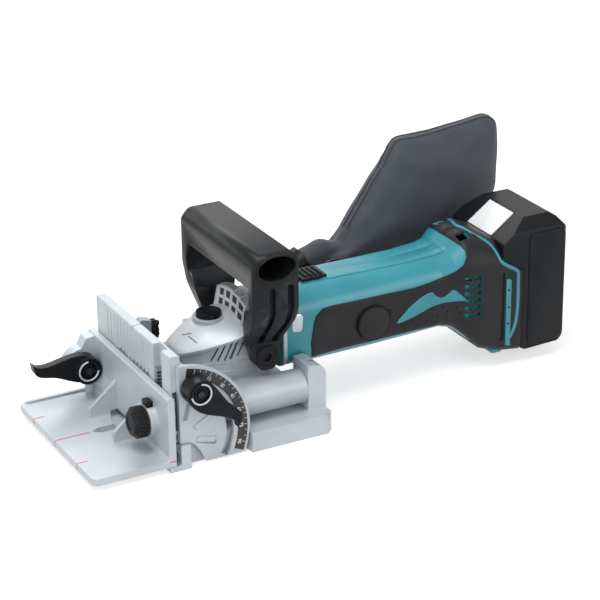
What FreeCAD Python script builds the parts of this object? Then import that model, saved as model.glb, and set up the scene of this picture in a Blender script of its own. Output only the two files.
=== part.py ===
"""Cordless biscuit joiner (plate joiner) as a parametric FreeCAD document.

Frame: X runs along the tool, with the fence towards -X and the battery towards +X.
Y is across the tool and Z is up. The origin is on the sole's plane (z = 0), on the
centre plane (y = 0), below the registration face of the angle guide (x = 0).
All lengths are millimetres. Every driving size is a cell of the sheet "Dims".
"""
import FreeCAD, Part
import Sketcher
import math
import os
import re

from FreeCAD import Placement, Rotation, Vector

os.makedirs("parts", exist_ok=True)
doc = FreeCAD.newDocument("BiscuitJoiner")

# --------------------------------------------------------------------------- dimensions
SIZES = {
    # fits and clearances
    "running_gap": 0.05, "seat_gap": 0.3, "plate_gap": 0.4,
    # base: sole plate, rails and nose
    "base_half": 71.5, "base_rear": 130.0, "rail_front": 61.5, "front_step": 8.1,
    "split_level": 12.6, "rail_top": 15.6, "deck_top": 19.0, "floor_top": 6.5, "cavity_top": 13.4,
    "toe_front": -5.3, "toe_top": 4.0, "nose_face": 3.8, "nose_top": 17.0, "nose_land": 12.0,
    "cheek_width": 2.7, "cheek_rear": 11.5, "ledge_step": 11.5, "nut_well": 2.4, "pad_width": 18.0,
    # guide rods, their posts and the slide tubes
    "rod_offset": 46.0, "rod_level": 32.0, "rod_radius": 5.0, "post_half": 12.0,
    "front_post_face": 11.0, "front_post_depth": 8.0, "rear_post_face": 115.6,
    "rear_post_depth": 15.0, "rear_post_top": 51.5, "front_post_top": 44.0,
    "tube_radius": 13.2, "tube_front": 40.0, "tube_rear": 115.2, "spring_bore": 9.0,
    "spring_wire": 0.8, "spring_turns": 9.0, "tube_end_wall": 8.0, "plunge_travel": 20.0,
    # hinge and angle quadrant
    "hinge_across": 3.6, "hinge_level": 23.6, "hinge_pin": 2.0, "hinge_eye": 3.6,
    "ear_step": 12.5, "ear_width": 6.0, "quadrant_step": 3.3, "quadrant_thick": 3.8,
    "quadrant_radius": 57.6, "quadrant_left": 4.6, "quadrant_floor": 1.2, "slot_orbit": 41.4,
    "slot_half": 3.1, "slot_end_angle": -27.0, "scale_outer": 55.4, "scale_inner": 47.8,
    "scale_thick": 0.4, "bolt_angle": 72.7, "clamp_bolt": 2.9, "bolt_head": 5.6,
    "clamp_ear_half": 7.0, "clamp_ear_top": 70.0,
    # angle guide
    "guide_step": 7.5, "guide_far_step": 5.0, "guide_thick": 8.0, "guide_foot": 19.6, "guide_top": 88.0,
    "channel_step": 28.5, "channel_half": 7.0, "channel_depth": 5.6,
    "window_half": 26.0, "window_foot": 36.0, "window_top": 61.0,
    "flute_pitch": 6.0, "flute_width": 3.0, "flute_depth": 1.0,
    # fence
    "fence_reach": 66.0, "fence_face": 6.0, "fence_foot": 4.5,
    "table_top": 9.8, "fence_top": 59.0, "bead_width": 3.0, "bead_height": 1.4,
    "gusset_pitch": 22.5, "gusset_thick": 3.2, "gusset_reach": 22.5, "gusset_rise": 37.0,
    "notch_half": 4.4, "notch_reach": 30.0, "blade_gap": 0.5,
    "lever_axis": -17.2, "lever_level": 36.0, "lug_step": 1.5, "lug_width": 10.5,
    "lug_radius": 13.5, "fence_travel": 30.0,
    # height knob, pinion and rack
    "knob_level": 32.6, "knob_radius": 12.0, "knob_front": -24.0, "knob_rear": -12.6,
    "boss_radius": 11.6, "boss_depth": 6.2, "shaft_radius": 3.0, "pinion_pitch": 4.5,
    "pinion_teeth": 10.0, "gear_face": 4.4,
    # clamp levers
    "lever_hub": 10.8, "lever_depth": 13.0, "lever_arm": 43.0, "lever_web": 7.0,
    "washer_thick": 1.6,
    # blade and spindle
    "blade_axis": 54.2, "blade_radius": 50.0, "blade_level": 10.0, "blade_body": 2.6,
    "blade_kerf": 4.0, "blade_teeth": 6.0, "blade_bore": 10.0, "spindle_radius": 8.0,
    "spindle_foot": 3.2, "flange_radius": 19.0, "flange_top": 16.0, "nut_radius": 16.5,
    "journal_radius": 3.2, "journal_top": 76.0, "gear_pitch_radius": 18.6, "gear_teeth": 30.0,
    "pinion_count": 10.0, "gear_width": 5.6, "gear_low": 54.0, "gear_chamber": 20.4,
    "lock_offset": 8.2, "lock_pin": 2.0, "lock_cap": 9.6, "link_level": 93.6,
    # gear housing
    "housing_rear": 109.0, "housing_half": 31.0, "housing_foot": 19.8,
    "box_top": 49.0,
    # motor and motor housing
    "motor_level": 69.6, "barrel_front": 109.2, "barrel_half": 31.0,
    "barrel_rise": 27.5, "shell_wall": 2.4, "shaft_motor": 4.0, "core_radius": 16.5,
    "core_front": 134.0, "core_length": 38.0, "field_outer": 23.4, "field_inner": 17.3,
    "fan_front": 116.0, "fan_depth": 9.0, "fan_radius": 22.0, "commutator_front": 180.0,
    "commutator_length": 14.0, "commutator_radius": 11.0, "brush_place": 187.0,
    "cap_radius": 14.0, "rear_bearing": 199.0,
    # D-handle
    "handle_half": 59.5, "handle_inner": 45.0, "handle_front": 69.6, "handle_back": 107.5,
    "handle_top": 149.0, "handle_under": 123.0, "pivot_place": 89.5,
    "pivot_level": 59.2, "leg_outer": 43.2, "leg_inner": 33.2, "boss_root": 27.0, "boss_outer": 8.6,
    # switch, electronics
    "switch_front": 137.0, "switch_rear": 158.0, "switch_half": 10.0, "switch_travel": 8.0,
    "board_level": 60.0,
    # battery
    "battery_front": 319.0, "battery_rear": 361.0, "battery_half": 37.5, "battery_foot": 11.0,
    "battery_top": 121.5, "battery_head": 300.6,
    # dust bag and nozzle
    "bag_clearance": 0.9, "nozzle_radius": 11.0, "nozzle_start": 86.0, "nozzle_base": 27.0,
    "nozzle_slope": 27.0, "nozzle_length": 104.0, "bag_thick": 40.0,
    # depth stop
    "stop_step": 11.5, "stop_level": 53.0, "stop_radius": 8.0, "stop_post": 29.0,
}

# sizes that follow from others: places across the base keep their distance from its edge
TIED = {
    "front_half": "(base_half - front_step)", "cheek_inner": "(base_half - cheek_width)",
    "ledge_half": "(base_half - ledge_step)", "fence_half": "base_half",
    "ear_outer": "(base_half - ear_step)", "ear_inner": "(base_half - ear_step - ear_width)",
    "quadrant_face": "(base_half - quadrant_step)", "guide_half": "(base_half - guide_step)",
    "guide_far": "(base_half - guide_far_step)", "channel_centre": "(channel_step - base_half)",
    "lug_outer": "(base_half - lug_step)", "lug_inner": "(base_half - lug_step - lug_width)",
    "bag_axis_side": "(base_half + bag_clearance)", "stop_side": "(base_half - stop_step)",
}

sheet = doc.addObject("Spreadsheet::Sheet", "Dims")
for row, (alias, number_of_mm) in enumerate(SIZES.items(), start=1):
    sheet.set(f"A{row}", alias)
    sheet.set(f"B{row}", str(number_of_mm))
    sheet.setAlias(f"B{row}", alias)
doc.recompute()

WORD = re.compile(r"[A-Za-z_]\w*")
NODES = []


# --------------------------------------------------------------------------- small helpers
def linked(text):
    """Return an expression in which each size's name points at its cell."""
    spelled = WORD.sub(lambda m: TIED.get(m.group(0), m.group(0)), str(text))
    return WORD.sub(lambda m: "Dims." + m.group(0) if m.group(0) in SIZES else m.group(0), spelled)


def mm(text):
    """Return the present value of an expression of sizes."""
    return float(sheet.evalExpression(linked(text)))


def bind(thing, **expressions):
    """Bind properties of an object to expressions of sizes."""
    for name, text in expressions.items():
        thing.setExpression(name, linked(text))
    return thing


def place(thing, x, y, z, rotation=None):
    """Turn an object and bind its base point to expressions."""
    thing.Placement = Placement(Vector(0, 0, 0), rotation or Rotation())
    for axis, text in zip("xyz", (x, y, z)):
        thing.setExpression("Placement.Base." + axis, linked(text))
    return thing


def node(thing, label):
    """Name a finished sub-part and keep it for export."""
    thing.Label = label
    NODES.append(thing)
    return thing


def box(name, x, y, z):
    """A box between two expressions along each axis."""
    made = doc.addObject("Part::Box", name)
    bind(made, Length=f"({x[1]}) - ({x[0]})", Width=f"({y[1]}) - ({y[0]})", Height=f"({z[1]}) - ({z[0]})")
    return place(made, x[0], y[0], z[0])


TURNS = {"x": Rotation(Vector(0, 1, 0), 90), "y": Rotation(Vector(1, 0, 0), -90), "z": Rotation()}


def along(axis, span_low, centre):
    """The base point of a round piece whose axis runs through centre (two expressions)."""
    if axis == "x":
        return span_low, centre[0], centre[1]
    if axis == "y":
        return centre[0], span_low, centre[1]
    return centre[0], centre[1], span_low


def rod(name, axis, centre, radius, span):
    """A cylinder along an axis, from span[0] to span[1]."""
    made = doc.addObject("Part::Cylinder", name)
    bind(made, Radius=radius, Height=f"({span[1]}) - ({span[0]})")
    return place(made, *along(axis, span[0], centre), TURNS[axis])


def taper(name, axis, centre, low_radius, high_radius, span):
    """A cone frustum along an axis."""
    made = doc.addObject("Part::Cone", name)
    bind(made, Radius1=low_radius, Radius2=high_radius, Height=f"({span[1]}) - ({span[0]})")
    return place(made, *along(axis, span[0], centre), TURNS[axis])


def union(name, *parts):
    """Fuse parts into one solid."""
    made = doc.addObject("Part::MultiFuse", name)
    made.Shapes = list(parts)
    made.Refine = True
    return made


def cut(name, base, *tools):
    """Take tools away from a base."""
    made = doc.addObject("Part::Cut", name)
    made.Base = base
    made.Tool = tools[0] if len(tools) == 1 else union(name + "Tools", *tools)
    made.Refine = True
    return made


def common(name, *parts):
    """Keep what all parts share."""
    made = doc.addObject("Part::MultiCommon", name)
    made.Shapes = list(parts)
    made.Refine = True
    return made


def group(name, *parts):
    """Keep separate solids together in one sub-part."""
    made = doc.addObject("Part::Compound", name)
    made.Links = list(parts)
    return made


def tube(name, axis, centre, outer, inner, span):
    """A ring or pipe."""
    skin = rod(name + "Skin", axis, centre, outer, span)
    bore = rod(name + "Bore", axis, centre, inner, (f"{span[0]} - 1", f"{span[1]} + 1"))
    return cut(name, skin, bore)


def fixed(name, shape):
    """A feature whose shape comes from Part's own functions."""
    made = doc.addObject("Part::Feature", name)
    made.Shape = shape
    return made


# --------------------------------------------------------------------------- sketches and bodies
PLANES = {"xy": "XY_Plane", "xz": "XZ_Plane", "yz": "YZ_Plane"}


def new_body(name):
    """An empty PartDesign body."""
    return doc.addObject("PartDesign::Body", name)


def new_sketch(body, name, plane, offset):
    """A sketch on one of the body's own origin planes, moved along its normal."""
    sketch = body.newObject("Sketcher::SketchObject", name)
    origin = [f for f in body.Origin.OriginFeatures if f.Role == PLANES[plane]][0]
    sketch.AttachmentSupport = [(origin, "")]
    sketch.MapMode = "FlatFace"
    sketch.setExpression("AttachmentOffset.Base.z", linked(offset))
    return sketch


def hold(sketch, kind, geometry, point, text):
    """Hold one coordinate of a point at an expression."""
    index = sketch.addConstraint(Sketcher.Constraint(kind, -1, 1, geometry, point, mm(text)))
    sketch.setExpression(f"Constraints[{index}]", linked(text))


def draw_polygon(sketch, points):
    """A closed outline whose corners are pairs of expressions."""
    corners = [Vector(mm(u), mm(v), 0) for u, v in points]
    first = sketch.GeometryCount
    count = len(corners)
    for index in range(count):
        sketch.addGeometry(Part.LineSegment(corners[index], corners[(index + 1) % count]), False)
    for index in range(count):
        after = first + (index + 1) % count
        sketch.addConstraint(Sketcher.Constraint("Coincident", first + index, 2, after, 1))
    for index, (u, v) in enumerate(points):
        hold(sketch, "DistanceX", first + index, 1, u)
        hold(sketch, "DistanceY", first + index, 1, v)


def draw_circle(sketch, u, v, radius):
    """A circle at a pair of expressions."""
    ring = sketch.addGeometry(Part.Circle(Vector(mm(u), mm(v), 0), Vector(0, 0, 1), mm(radius)), False)
    hold(sketch, "DistanceX", ring, 3, u)
    hold(sketch, "DistanceY", ring, 3, v)
    index = sketch.addConstraint(Sketcher.Constraint("Radius", ring, mm(radius)))
    sketch.setExpression(f"Constraints[{index}]", linked(radius))


def padded(body, name, plane, span, points=(), circles=()):
    """Add material between two levels along the plane's axis."""
    offset = f"-({span[1]})" if plane == "xz" else span[0]
    sketch = new_sketch(body, name + "Sketch", plane, offset)
    if points:
        draw_polygon(sketch, points)
    for circle in circles:
        draw_circle(sketch, *circle)
    feature = body.newObject("PartDesign::Pad", name)
    feature.Profile = sketch
    feature.setExpression("Length", linked(f"({span[1]}) - ({span[0]})"))
    doc.recompute()
    return feature


def pocketed(body, name, plane, span, points=(), circles=()):
    """Take material away between two levels along the plane's axis."""
    offset = f"-({span[0]})" if plane == "xz" else span[1]
    sketch = new_sketch(body, name + "Sketch", plane, offset)
    if points:
        draw_polygon(sketch, points)
    for circle in circles:
        draw_circle(sketch, *circle)
    before = body.Shape.Volume
    feature = body.newObject("PartDesign::Pocket", name)
    feature.Profile = sketch
    feature.setExpression("Length", linked(f"({span[1]}) - ({span[0]})"))
    doc.recompute()
    if body.Shape.Volume >= before:
        raise RuntimeError(name + " cuts nothing")
    return feature


def rounded(body, name, radius, wanted, kind="PartDesign::Fillet"):
    """Round (or chamfer) the edges of a body that a test picks."""
    doc.recompute()
    tip = body.Tip
    edges = [f"Edge{i}" for i, edge in enumerate(tip.Shape.Edges, start=1) if wanted(edge)]
    if not edges:
        raise RuntimeError(name + " finds no edge")
    feature = body.newObject(kind, name)
    feature.Base = (tip, edges)
    bind(feature, **{"Radius" if kind.endswith("Fillet") else "Size": radius})
    doc.recompute()
    return feature


def upright(edge):
    """True for a straight edge along Z."""
    box_of_edge = edge.BoundBox
    return box_of_edge.XLength < 0.01 and box_of_edge.YLength < 0.01 and box_of_edge.ZLength > 0.5


def prism(name, plane, span, points):
    """A body with one padded outline."""
    body = new_body(name)
    padded(body, name + "Pad", plane, span, points)
    return body



# --------------------------------------------------------------------------- base plate and base casting
def base_outline():
    """The plan of the base: narrow front beside the quadrant, wide rear rails with angled ends."""
    rear, front = "base_rear", "rail_front"
    half = {True: "base_half", False: "-base_half"}
    inner = {True: "front_half", False: "-front_half"}
    points = [("nose_face", inner[False])]
    points += [(f"{front} - 1", inner[False]), (front, half[False])]
    points += [(f"{rear} - 5", half[False]), (rear, f"{half[False]} + 5")]
    points += [(rear, f"{half[True]} - 5"), (f"{rear} - 5", half[True])]
    points += [(front, half[True]), (f"{front} - 1", inner[True]), ("nose_face", inner[True])]
    return points


def blade_room(name, low, high):
    """The space that the blade sweeps between rest and full plunge, open at the nose."""
    rest = rod(name + "Rest", "z", ("blade_axis", "0"), "blade_radius + 1.5", (low, high))
    ahead = rod(name + "Ahead", "z", ("blade_axis - plunge_travel", "0"), "blade_radius + 1.5", (low, high))
    swept = box(name + "Swept", ("blade_axis - plunge_travel", "blade_axis"),
                ("-(blade_radius + 1.5)", "blade_radius + 1.5"), (low, high))
    return union(name, rest, ahead, swept)


def long_well(name, reach, radius, low, high):
    """A slot-shaped well along the plunge, with round ends."""
    front = rod(name + "Front", "z", ("blade_axis - plunge_travel", "0"), radius, (low, high))
    rear = rod(name + "Rear", "z", (reach, "0"), radius, (low, high))
    middle = box(name + "Middle", ("blade_axis - plunge_travel", reach), (f"-({radius})", radius),
                 (low, high))
    return union(name, front, rear, middle)


SCREW_SPOTS = [("rail_front + 8", "base_half - 8"), ("base_rear - 8", "base_half - 10"),
               ("rail_front + 8", "8 - base_half"), ("base_rear - 8", "10 - base_half")]


PAD_SPAN = ("front_half - 1.4 - pad_width", "front_half - 1.4")
PAD_SPAN_NEAR = ("1.4 - front_half", "1.4 + pad_width - front_half")


def make_base_plate():
    """The flat sole with its toe under the fence, the nut's well and the blade's floor."""
    body = new_body("BasePlate")
    padded(body, "Sole", "xy", ("0", "split_level"), base_outline())
    doc.recompute()
    toe = box("Toe", ("toe_front", "nose_face + 4"), ("-base_half", "base_half"), ("0", "toe_top"))
    cheek = box("Cheek", ("nose_face", "cheek_rear"), ("-base_half", "-cheek_inner"), ("0", "deck_top"))
    cheek_foot = box("CheekFoot", ("nose_face", "cheek_rear"), ("-cheek_inner - 1", "-front_half + 1"),
                     ("0", "split_level - 1"))
    solid = union("SoleSolid", body, toe, cheek, cheek_foot)
    tools = [blade_room("FloorRoom", "floor_top", "split_level + 1"),
             long_well("NutWell", "blade_axis", "nut_radius + 1.5", "nut_well", "floor_top + 1")]
    for index, (x, y) in enumerate(SCREW_SPOTS):
        tools.append(rod(f"SoleScrewHole{index}", "z", (x, y), "2", ("-1", "split_level + 1")))
        tools.append(rod(f"SoleScrewSeat{index}", "z", (x, y), "4.2", ("-1", "3")))
    tools.append(box("PadSeatFar", ("nose_face - 1", "nose_face + 2.6"), PAD_SPAN, ("6", "12")))
    tools.append(box("PadSeatNear", ("nose_face - 1", "nose_face + 2.6"), PAD_SPAN_NEAR, ("6", "12")))
    tools.append(box("ChipDuct", ("74", "90"), ("blade_radius - 4", "base_half - 4"),
                     ("floor_top", "split_level + 1")))
    return node(cut("BasePlateCut", solid, *tools), "base_plate")


def make_base_casting():
    """The upper base: nose, hinge ears, deck, rails, rod posts, uprights and the lever's clamp ear."""
    rails = box("RailSlab", ("rail_front", "base_rear - 5"), ("-base_half", "base_half"),
                ("split_level", "rail_top"))
    tail = box("TailSlab", ("base_rear - 6", "base_rear"), ("5 - base_half", "base_half - 5"),
               ("split_level", "rail_top"))
    deck = box("Deck", ("nose_land", "rail_front + 1"), ("-front_half", "front_half"),
               ("split_level", "deck_top"))
    nose = box("Nose", ("nose_face", "nose_land + 1"), ("-front_half", "front_half"),
               ("split_level", "nose_top"))
    parts = [rails, tail, deck, nose]
    for side, sign in (("Far", "1"), ("Near", "-1")):
        low, high = sorted_pair(sign, "ear_inner", "ear_outer")
        parts.append(box("EarWeb" + side, ("nose_face", "nose_land"), (low, high),
                         ("nose_top - 3", "hinge_level")))
        parts.append(rod("EarEye" + side, "y", ("hinge_across", "hinge_level"), "hinge_eye", (low, high)))
        low, high = sorted_pair(sign, "rod_offset - post_half", "rod_offset + post_half")
        parts.append(box("FrontPost" + side, ("front_post_face", "front_post_face + front_post_depth"),
                         (low, high), ("split_level + 1", "front_post_top")))
        parts.append(upright_post(side, low, high))
    parts.append(clamp_ear())
    solid = union("CastingSolid", *parts)
    tools = [blade_room("RoofRoom", "split_level - 1", "cavity_top"),
             box("SpindleOpening", ("blade_axis - plunge_travel - 22", "blade_axis + 22"), ("-22", "22"),
                 ("split_level", "deck_top + 1"))]
    for side, sign in (("Far", "1"), ("Near", "-1")):
        centre = (f"{sign} * rod_offset", "rod_level")
        tools.append(rod("RodHole" + side, "x", centre, "rod_radius",
                         ("front_post_face + 2", "base_rear - 2")))
        tools.append(rod("TubeBed" + side, "x", centre, "tube_radius + seat_gap + 0.1",
                         ("front_post_face + front_post_depth + 0.2", "rail_front + 2")))
        low, high = sorted_pair(sign, "ear_inner - 1", "ear_outer + 1")
        tools.append(rod("PinHole" + side, "y", ("hinge_across", "hinge_level"), "hinge_pin", (low, high)))
        tools.append(rod("PinBore" + side, "z",
                         ("rear_post_face + rear_post_depth / 2", f"{sign} * rod_offset"),
                         "3", ("rod_level", "rear_post_top + 1")))
    tools.append(rod("ClampHole", "y", CLAMP_SPOT, "clamp_bolt", ("-front_half - 2", "-ledge_half + 1")))
    for index, (x, y) in enumerate(SCREW_SPOTS):
        tools.append(rod(f"CastScrewHole{index}", "z", (x, y), "2", ("split_level - 1", "rail_top - 1")))
    tools.append(box("ChipRise", ("74", "90"), ("ledge_half + 1.5", "base_half - 4"),
                     ("split_level - 1", "rail_top + 1")))
    return node(cut("BaseCasting", solid, *tools), "base_casting")


def sorted_pair(sign, inner, outer):
    """The span between two distances from the centre plane, on the far (+) or near (-) side."""
    if sign == "1":
        return inner, outer
    return f"-({outer})", f"-({inner})"


def upright_post(side, low, high):
    """A rear upright with its rounded shoulder."""
    body = new_body("Upright" + side)
    rear = "rear_post_face + rear_post_depth"
    points = [("rear_post_face", "split_level + 1"), (rear, "split_level + 1"), (rear, "rear_post_top"),
              ("rear_post_face", "rear_post_top")]
    padded(body, "UprightPad" + side, "xz", (low, high), points)

    def shoulder(edge):
        """True for the top edge at the back."""
        middle = edge.CenterOfMass
        return middle.z > mm("rear_post_top") - 0.1 and middle.x > mm(rear) - 0.1

    rounded(body, "UprightRound" + side, "9", shoulder)
    return body


CLAMP_SPOT = ("hinge_across + slot_orbit * cos(bolt_angle)", "hinge_level + slot_orbit * sin(bolt_angle)")


def clamp_ear():
    """The thin upright beside the quadrant that carries the lever's bolt."""
    body = new_body("ClampEar")
    x, z = CLAMP_SPOT
    points = [(f"{x} - clamp_ear_half + 1.7", "split_level + 1"), (f"{x} + 24", "split_level + 1"),
              (f"{x} + 24", "deck_top + 4"), (f"{x} + clamp_ear_half", f"{z} - 10"),
              (f"{x} + clamp_ear_half", "clamp_ear_top"), (f"{x} - clamp_ear_half + 1", "clamp_ear_top"),
              (f"{x} - clamp_ear_half", "clamp_ear_top - 3"), (f"{x} - clamp_ear_half", "hinge_level + 10"),
              (f"{x} - clamp_ear_half + 1.7", "hinge_level + 6")]
    padded(body, "ClampEarPad", "xz", ("-front_half", "-ledge_half"), points)
    return body


def make_rods():
    """Two guide rods that the motor unit slides along."""
    rods = []
    for side, sign in (("Far", "1"), ("Near", "-1")):
        rods.append(rod("Rod" + side, "x", (f"{sign} * rod_offset", "rod_level"), "rod_radius",
                        ("front_post_face + 2", "base_rear - 2")))
    node(group("GuideRods", *rods), "guide_rods")
    pins = []
    for side, sign in (("Far", "1"), ("Near", "-1")):
        pins.append(rod("RodPin" + side, "z",
                        ("rear_post_face + rear_post_depth / 2", f"{sign} * rod_offset"),
                        "3", ("rod_level + rod_radius + 0.5", "rear_post_top - 1.5")))
    node(group("RodPins", *pins), "rod_pins")


def make_springs():
    """Two return springs round the rods, inside the slide tubes."""
    coils = []
    start = mm("front_post_face + front_post_depth") + mm("spring_wire") + 0.4
    finish = mm("tube_rear - tube_end_wall") - mm("spring_wire") - 0.4
    pitch = (finish - start) / mm("spring_turns")
    radius = mm("rod_radius + spring_wire") + 0.9
    for side, sign in (("Far", 1), ("Near", -1)):
        helix = Part.makeHelix(pitch, finish - start, radius)
        section = Part.Wire(Part.Circle(Vector(radius, 0, 0), Vector(0, 1, 0), mm("spring_wire")).toShape())
        coil = Part.Wire(helix.Edges).makePipeShell([section], True, True)
        coil.Placement = Placement(Vector(start, sign * mm("rod_offset"), mm("rod_level")), TURNS["x"])
        coils.append(fixed("Spring" + side, coil))
    node(group("ReturnSprings", *coils), "return_springs")


def make_hinge_pins():
    """Two pins, fixed in the base's ears, that the angle guide turns on."""
    pins = []
    for side, sign in (("Far", "1"), ("Near", "-1")):
        low, high = sorted_pair(sign, "ear_inner - 7", "ear_outer + 4.5")
        pins.append(rod("HingePin" + side, "y", ("hinge_across", "hinge_level"), "hinge_pin", (low, high)))
    node(group("HingePins", *pins), "hinge_pins")


def make_clamp_bolt():
    """The fixed bolt that passes through the quadrant's slot into the angle lever."""
    head = rod("ClampHead", "y", CLAMP_SPOT, "bolt_head", ("-ledge_half", "-ledge_half + 2.6"))
    stem = rod("ClampStem", "y", CLAMP_SPOT, "clamp_bolt",
               ("-(quadrant_face + washer_thick + 9)", "-ledge_half + 1"))
    skin = rod("WasherSkin", "y", CLAMP_SPOT, "6.2",
               ("-(quadrant_face + washer_thick)", "-(quadrant_face + 0.1)"))
    hole = rod("WasherHole", "y", CLAMP_SPOT, "clamp_bolt",
               ("-(quadrant_face + 4)", "-(quadrant_face - 2)"))
    node(group("ClampSet", union("ClampBolt", head, stem), cut("ClampWasher", skin, hole)), "angle_bolt")


def make_base_trim():
    """Anti-slip pads in the nose, and the screws that hold the base together."""
    pads = [box("PadFar", ("nose_face + 0.1", "nose_face + 2.6"), PAD_SPAN, ("6", "12")),
            box("PadNear", ("nose_face + 0.1", "nose_face + 2.6"), PAD_SPAN_NEAR, ("6", "12"))]
    node(group("FrontPads", *pads), "front_pads")
    screws = []
    for index, (x, y) in enumerate(SCREW_SPOTS):
        head = taper(f"SoleHead{index}", "z", (x, y), "4.1", "2", ("0.6", "3"))
        stem = rod(f"SoleStem{index}", "z", (x, y), "2", ("0.6", "rail_top - 1.2"))
        screws.append(union(f"SoleScrew{index}", head, stem))
    node(group("BaseScrews", *screws), "base_screws")


# --------------------------------------------------------------------------- nozzle and depth stop
def make_nozzle():
    """The chip nozzle on the far rail: a square boot that rises into a round pipe."""
    boot = box("NozzleBoot", ("68", "96"), ("ledge_half + 0.4", "base_half - 0.1"),
               ("rail_top", "rail_top + 12"))
    bend = rod("NozzleBend", "z", ("nozzle_start", "bag_axis_side"), "nozzle_radius",
               ("rail_top + 0.6", "nozzle_base"))
    knuckle = doc.addObject("Part::Sphere", "NozzleKnuckle")
    bind(knuckle, Radius="nozzle_radius")
    place(knuckle, "nozzle_start", "bag_axis_side", "nozzle_base")
    turn = Rotation(Vector(0, 1, 0), 90 - mm("nozzle_slope"))
    pipe = doc.addObject("Part::Cylinder", "NozzlePipe")
    bind(pipe, Radius="nozzle_radius", Height="nozzle_length")
    place(pipe, "nozzle_start", "bag_axis_side", "nozzle_base", turn)
    bore = doc.addObject("Part::Cylinder", "NozzleBore")
    bind(bore, Radius="nozzle_radius - 2", Height="nozzle_length + 5")
    place(bore, "nozzle_start", "bag_axis_side", "nozzle_base", turn)
    well = rod("NozzleWell", "z", ("nozzle_start", "bag_axis_side"), "nozzle_radius - 2",
               ("rail_top + 2.5", "nozzle_base"))
    entry = box("NozzleEntry", ("74", "90"), ("ledge_half + 2", "base_half - 2"),
                ("rail_top - 1", "rail_top + 9"))
    screw_hole = rod("NozzleScrewHole", "z", ("71", "ledge_half + 5"), "1.8",
                     ("rail_top - 1", "rail_top + 13"))
    solid = union("NozzleSolid", boot, bend, knuckle, pipe)
    node(cut("DustNozzle", solid, bore, well, entry, screw_hole), "dust_nozzle")
    head = rod("NozzleScrewHead", "z", ("71", "ledge_half + 5"), "3.2", ("rail_top + 12", "rail_top + 15"))
    stem = rod("NozzleScrewStem", "z", ("71", "ledge_half + 5"), "1.8", ("rail_top", "rail_top + 12.5"))
    node(union("NozzleScrew", head, stem), "nozzle_screw")


def make_stop_post():
    """The bracket of the depth stop on the base's far side, and the shaft of its turret."""
    body = prism("StopPost", "xz", ("stop_side - 4.5", "front_half"),
                 [("stop_post", "deck_top"), ("stop_post + 11", "deck_top"),
                  ("stop_post + 11", "stop_level + 9"),
                  ("stop_post + 3", "stop_level + 11"), ("stop_post", "stop_level + 8")])
    pocketed(body, "StopHole", "yz", ("stop_post - 1", "stop_post + 12"),
             circles=[("stop_side", "stop_level", "2.5")])
    bed = rod("StopTubeBed", "x", ("rod_offset", "rod_level"), "tube_radius + seat_gap + 0.1",
              ("stop_post - 1", "stop_post + 12"))
    node(cut("StopPostCut", body, bed), "depth_stop_post")


# --------------------------------------------------------------------------- angle guide
FLUTES_LOW, FLUTES_HIGH = -27.0, 48.0


def make_guide():
    """The plate that tilts: window, front flutes, the rack's channel and the hinge notches."""
    body = new_body("AngleGuide")
    padded(body, "GuidePlate", "yz", ("0", "guide_thick"),
           [("-guide_half", "guide_foot"), ("guide_far", "guide_foot"), ("guide_far", "guide_top"),
            ("-guide_half", "guide_top")])
    rounded(body, "GuideTopRound", "1.2", lambda e: on_level(e, "guide_top") and e.BoundBox.YLength > 10)
    pocketed(body, "GuideWindow", "yz", ("-1", "guide_thick + 1"),
             [("-window_half", "window_foot"), ("window_half", "window_foot"),
              ("window_half", "window_top"),
              ("-window_half", "window_top")])
    pocketed(body, "RackChannel", "yz", ("-1", "channel_depth"),
             [("channel_centre - channel_half", "guide_foot - 1"),
              ("channel_centre + channel_half", "guide_foot - 1"),
              ("channel_centre + channel_half", "guide_top + 1"), ("channel_centre - channel_half",
                                                                   "guide_top + 1")])
    for side, sign in (("Far", "1"), ("Near", "-1")):
        low, high = sorted_pair(sign, "ear_inner - plate_gap", "ear_outer + plate_gap")
        pocketed(body, "EarNotch" + side, "yz", ("-1", "guide_thick + 1"),
                 [(low, "guide_foot - 1"), (high, "guide_foot - 1"),
                  (high, "hinge_level + hinge_eye + 0.9"),
                  (low, "hinge_level + hinge_eye + 0.9")])
    pocketed(body, "BackRelief", "yz", ("guide_thick - 3", "guide_thick + 1"),
             [("-window_half - 4", "guide_foot + 11"), ("window_half + 4", "guide_foot + 11"),
              ("window_half + 4", "guide_top - 5"), ("-window_half - 4", "guide_top - 5")])
    tools = []
    count = int((FLUTES_HIGH - FLUTES_LOW) / mm("flute_pitch")) + 1
    for index in range(count):
        at = f"{FLUTES_LOW} + {index} * flute_pitch"
        tools.append(box(f"Flute{index}", ("-1", "flute_depth"),
                         (f"{at} - flute_width / 2", f"{at} + flute_width / 2"),
                         ("guide_foot + 9", "guide_top - 3.4")))
    for side, sign in (("Far", "1"), ("Near", "-1")):
        low, high = sorted_pair(sign, "ear_inner - 8", "guide_half + 1")
        tools.append(rod("GuidePinHole" + side, "y", ("hinge_across", "hinge_level"),
                         "hinge_pin + running_gap",
                         (low, high)))
    for index, across in enumerate(TAB_SCREWS):
        tools.append(rod(f"TabScrewHole{index}", "x", (across, "76"), "1.6", ("2", "guide_thick + 1")))
    return node(cut("AngleGuideCut", body, *tools), "angle_guide")


TAB_SCREWS = ("8.2 - quadrant_face", "14.2 - quadrant_face")


def on_level(edge, level):
    """True for an edge that lies wholly at a height."""
    return edge.BoundBox.ZLength < 0.01 and abs(edge.BoundBox.ZMin - mm(level)) < 0.01


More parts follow.
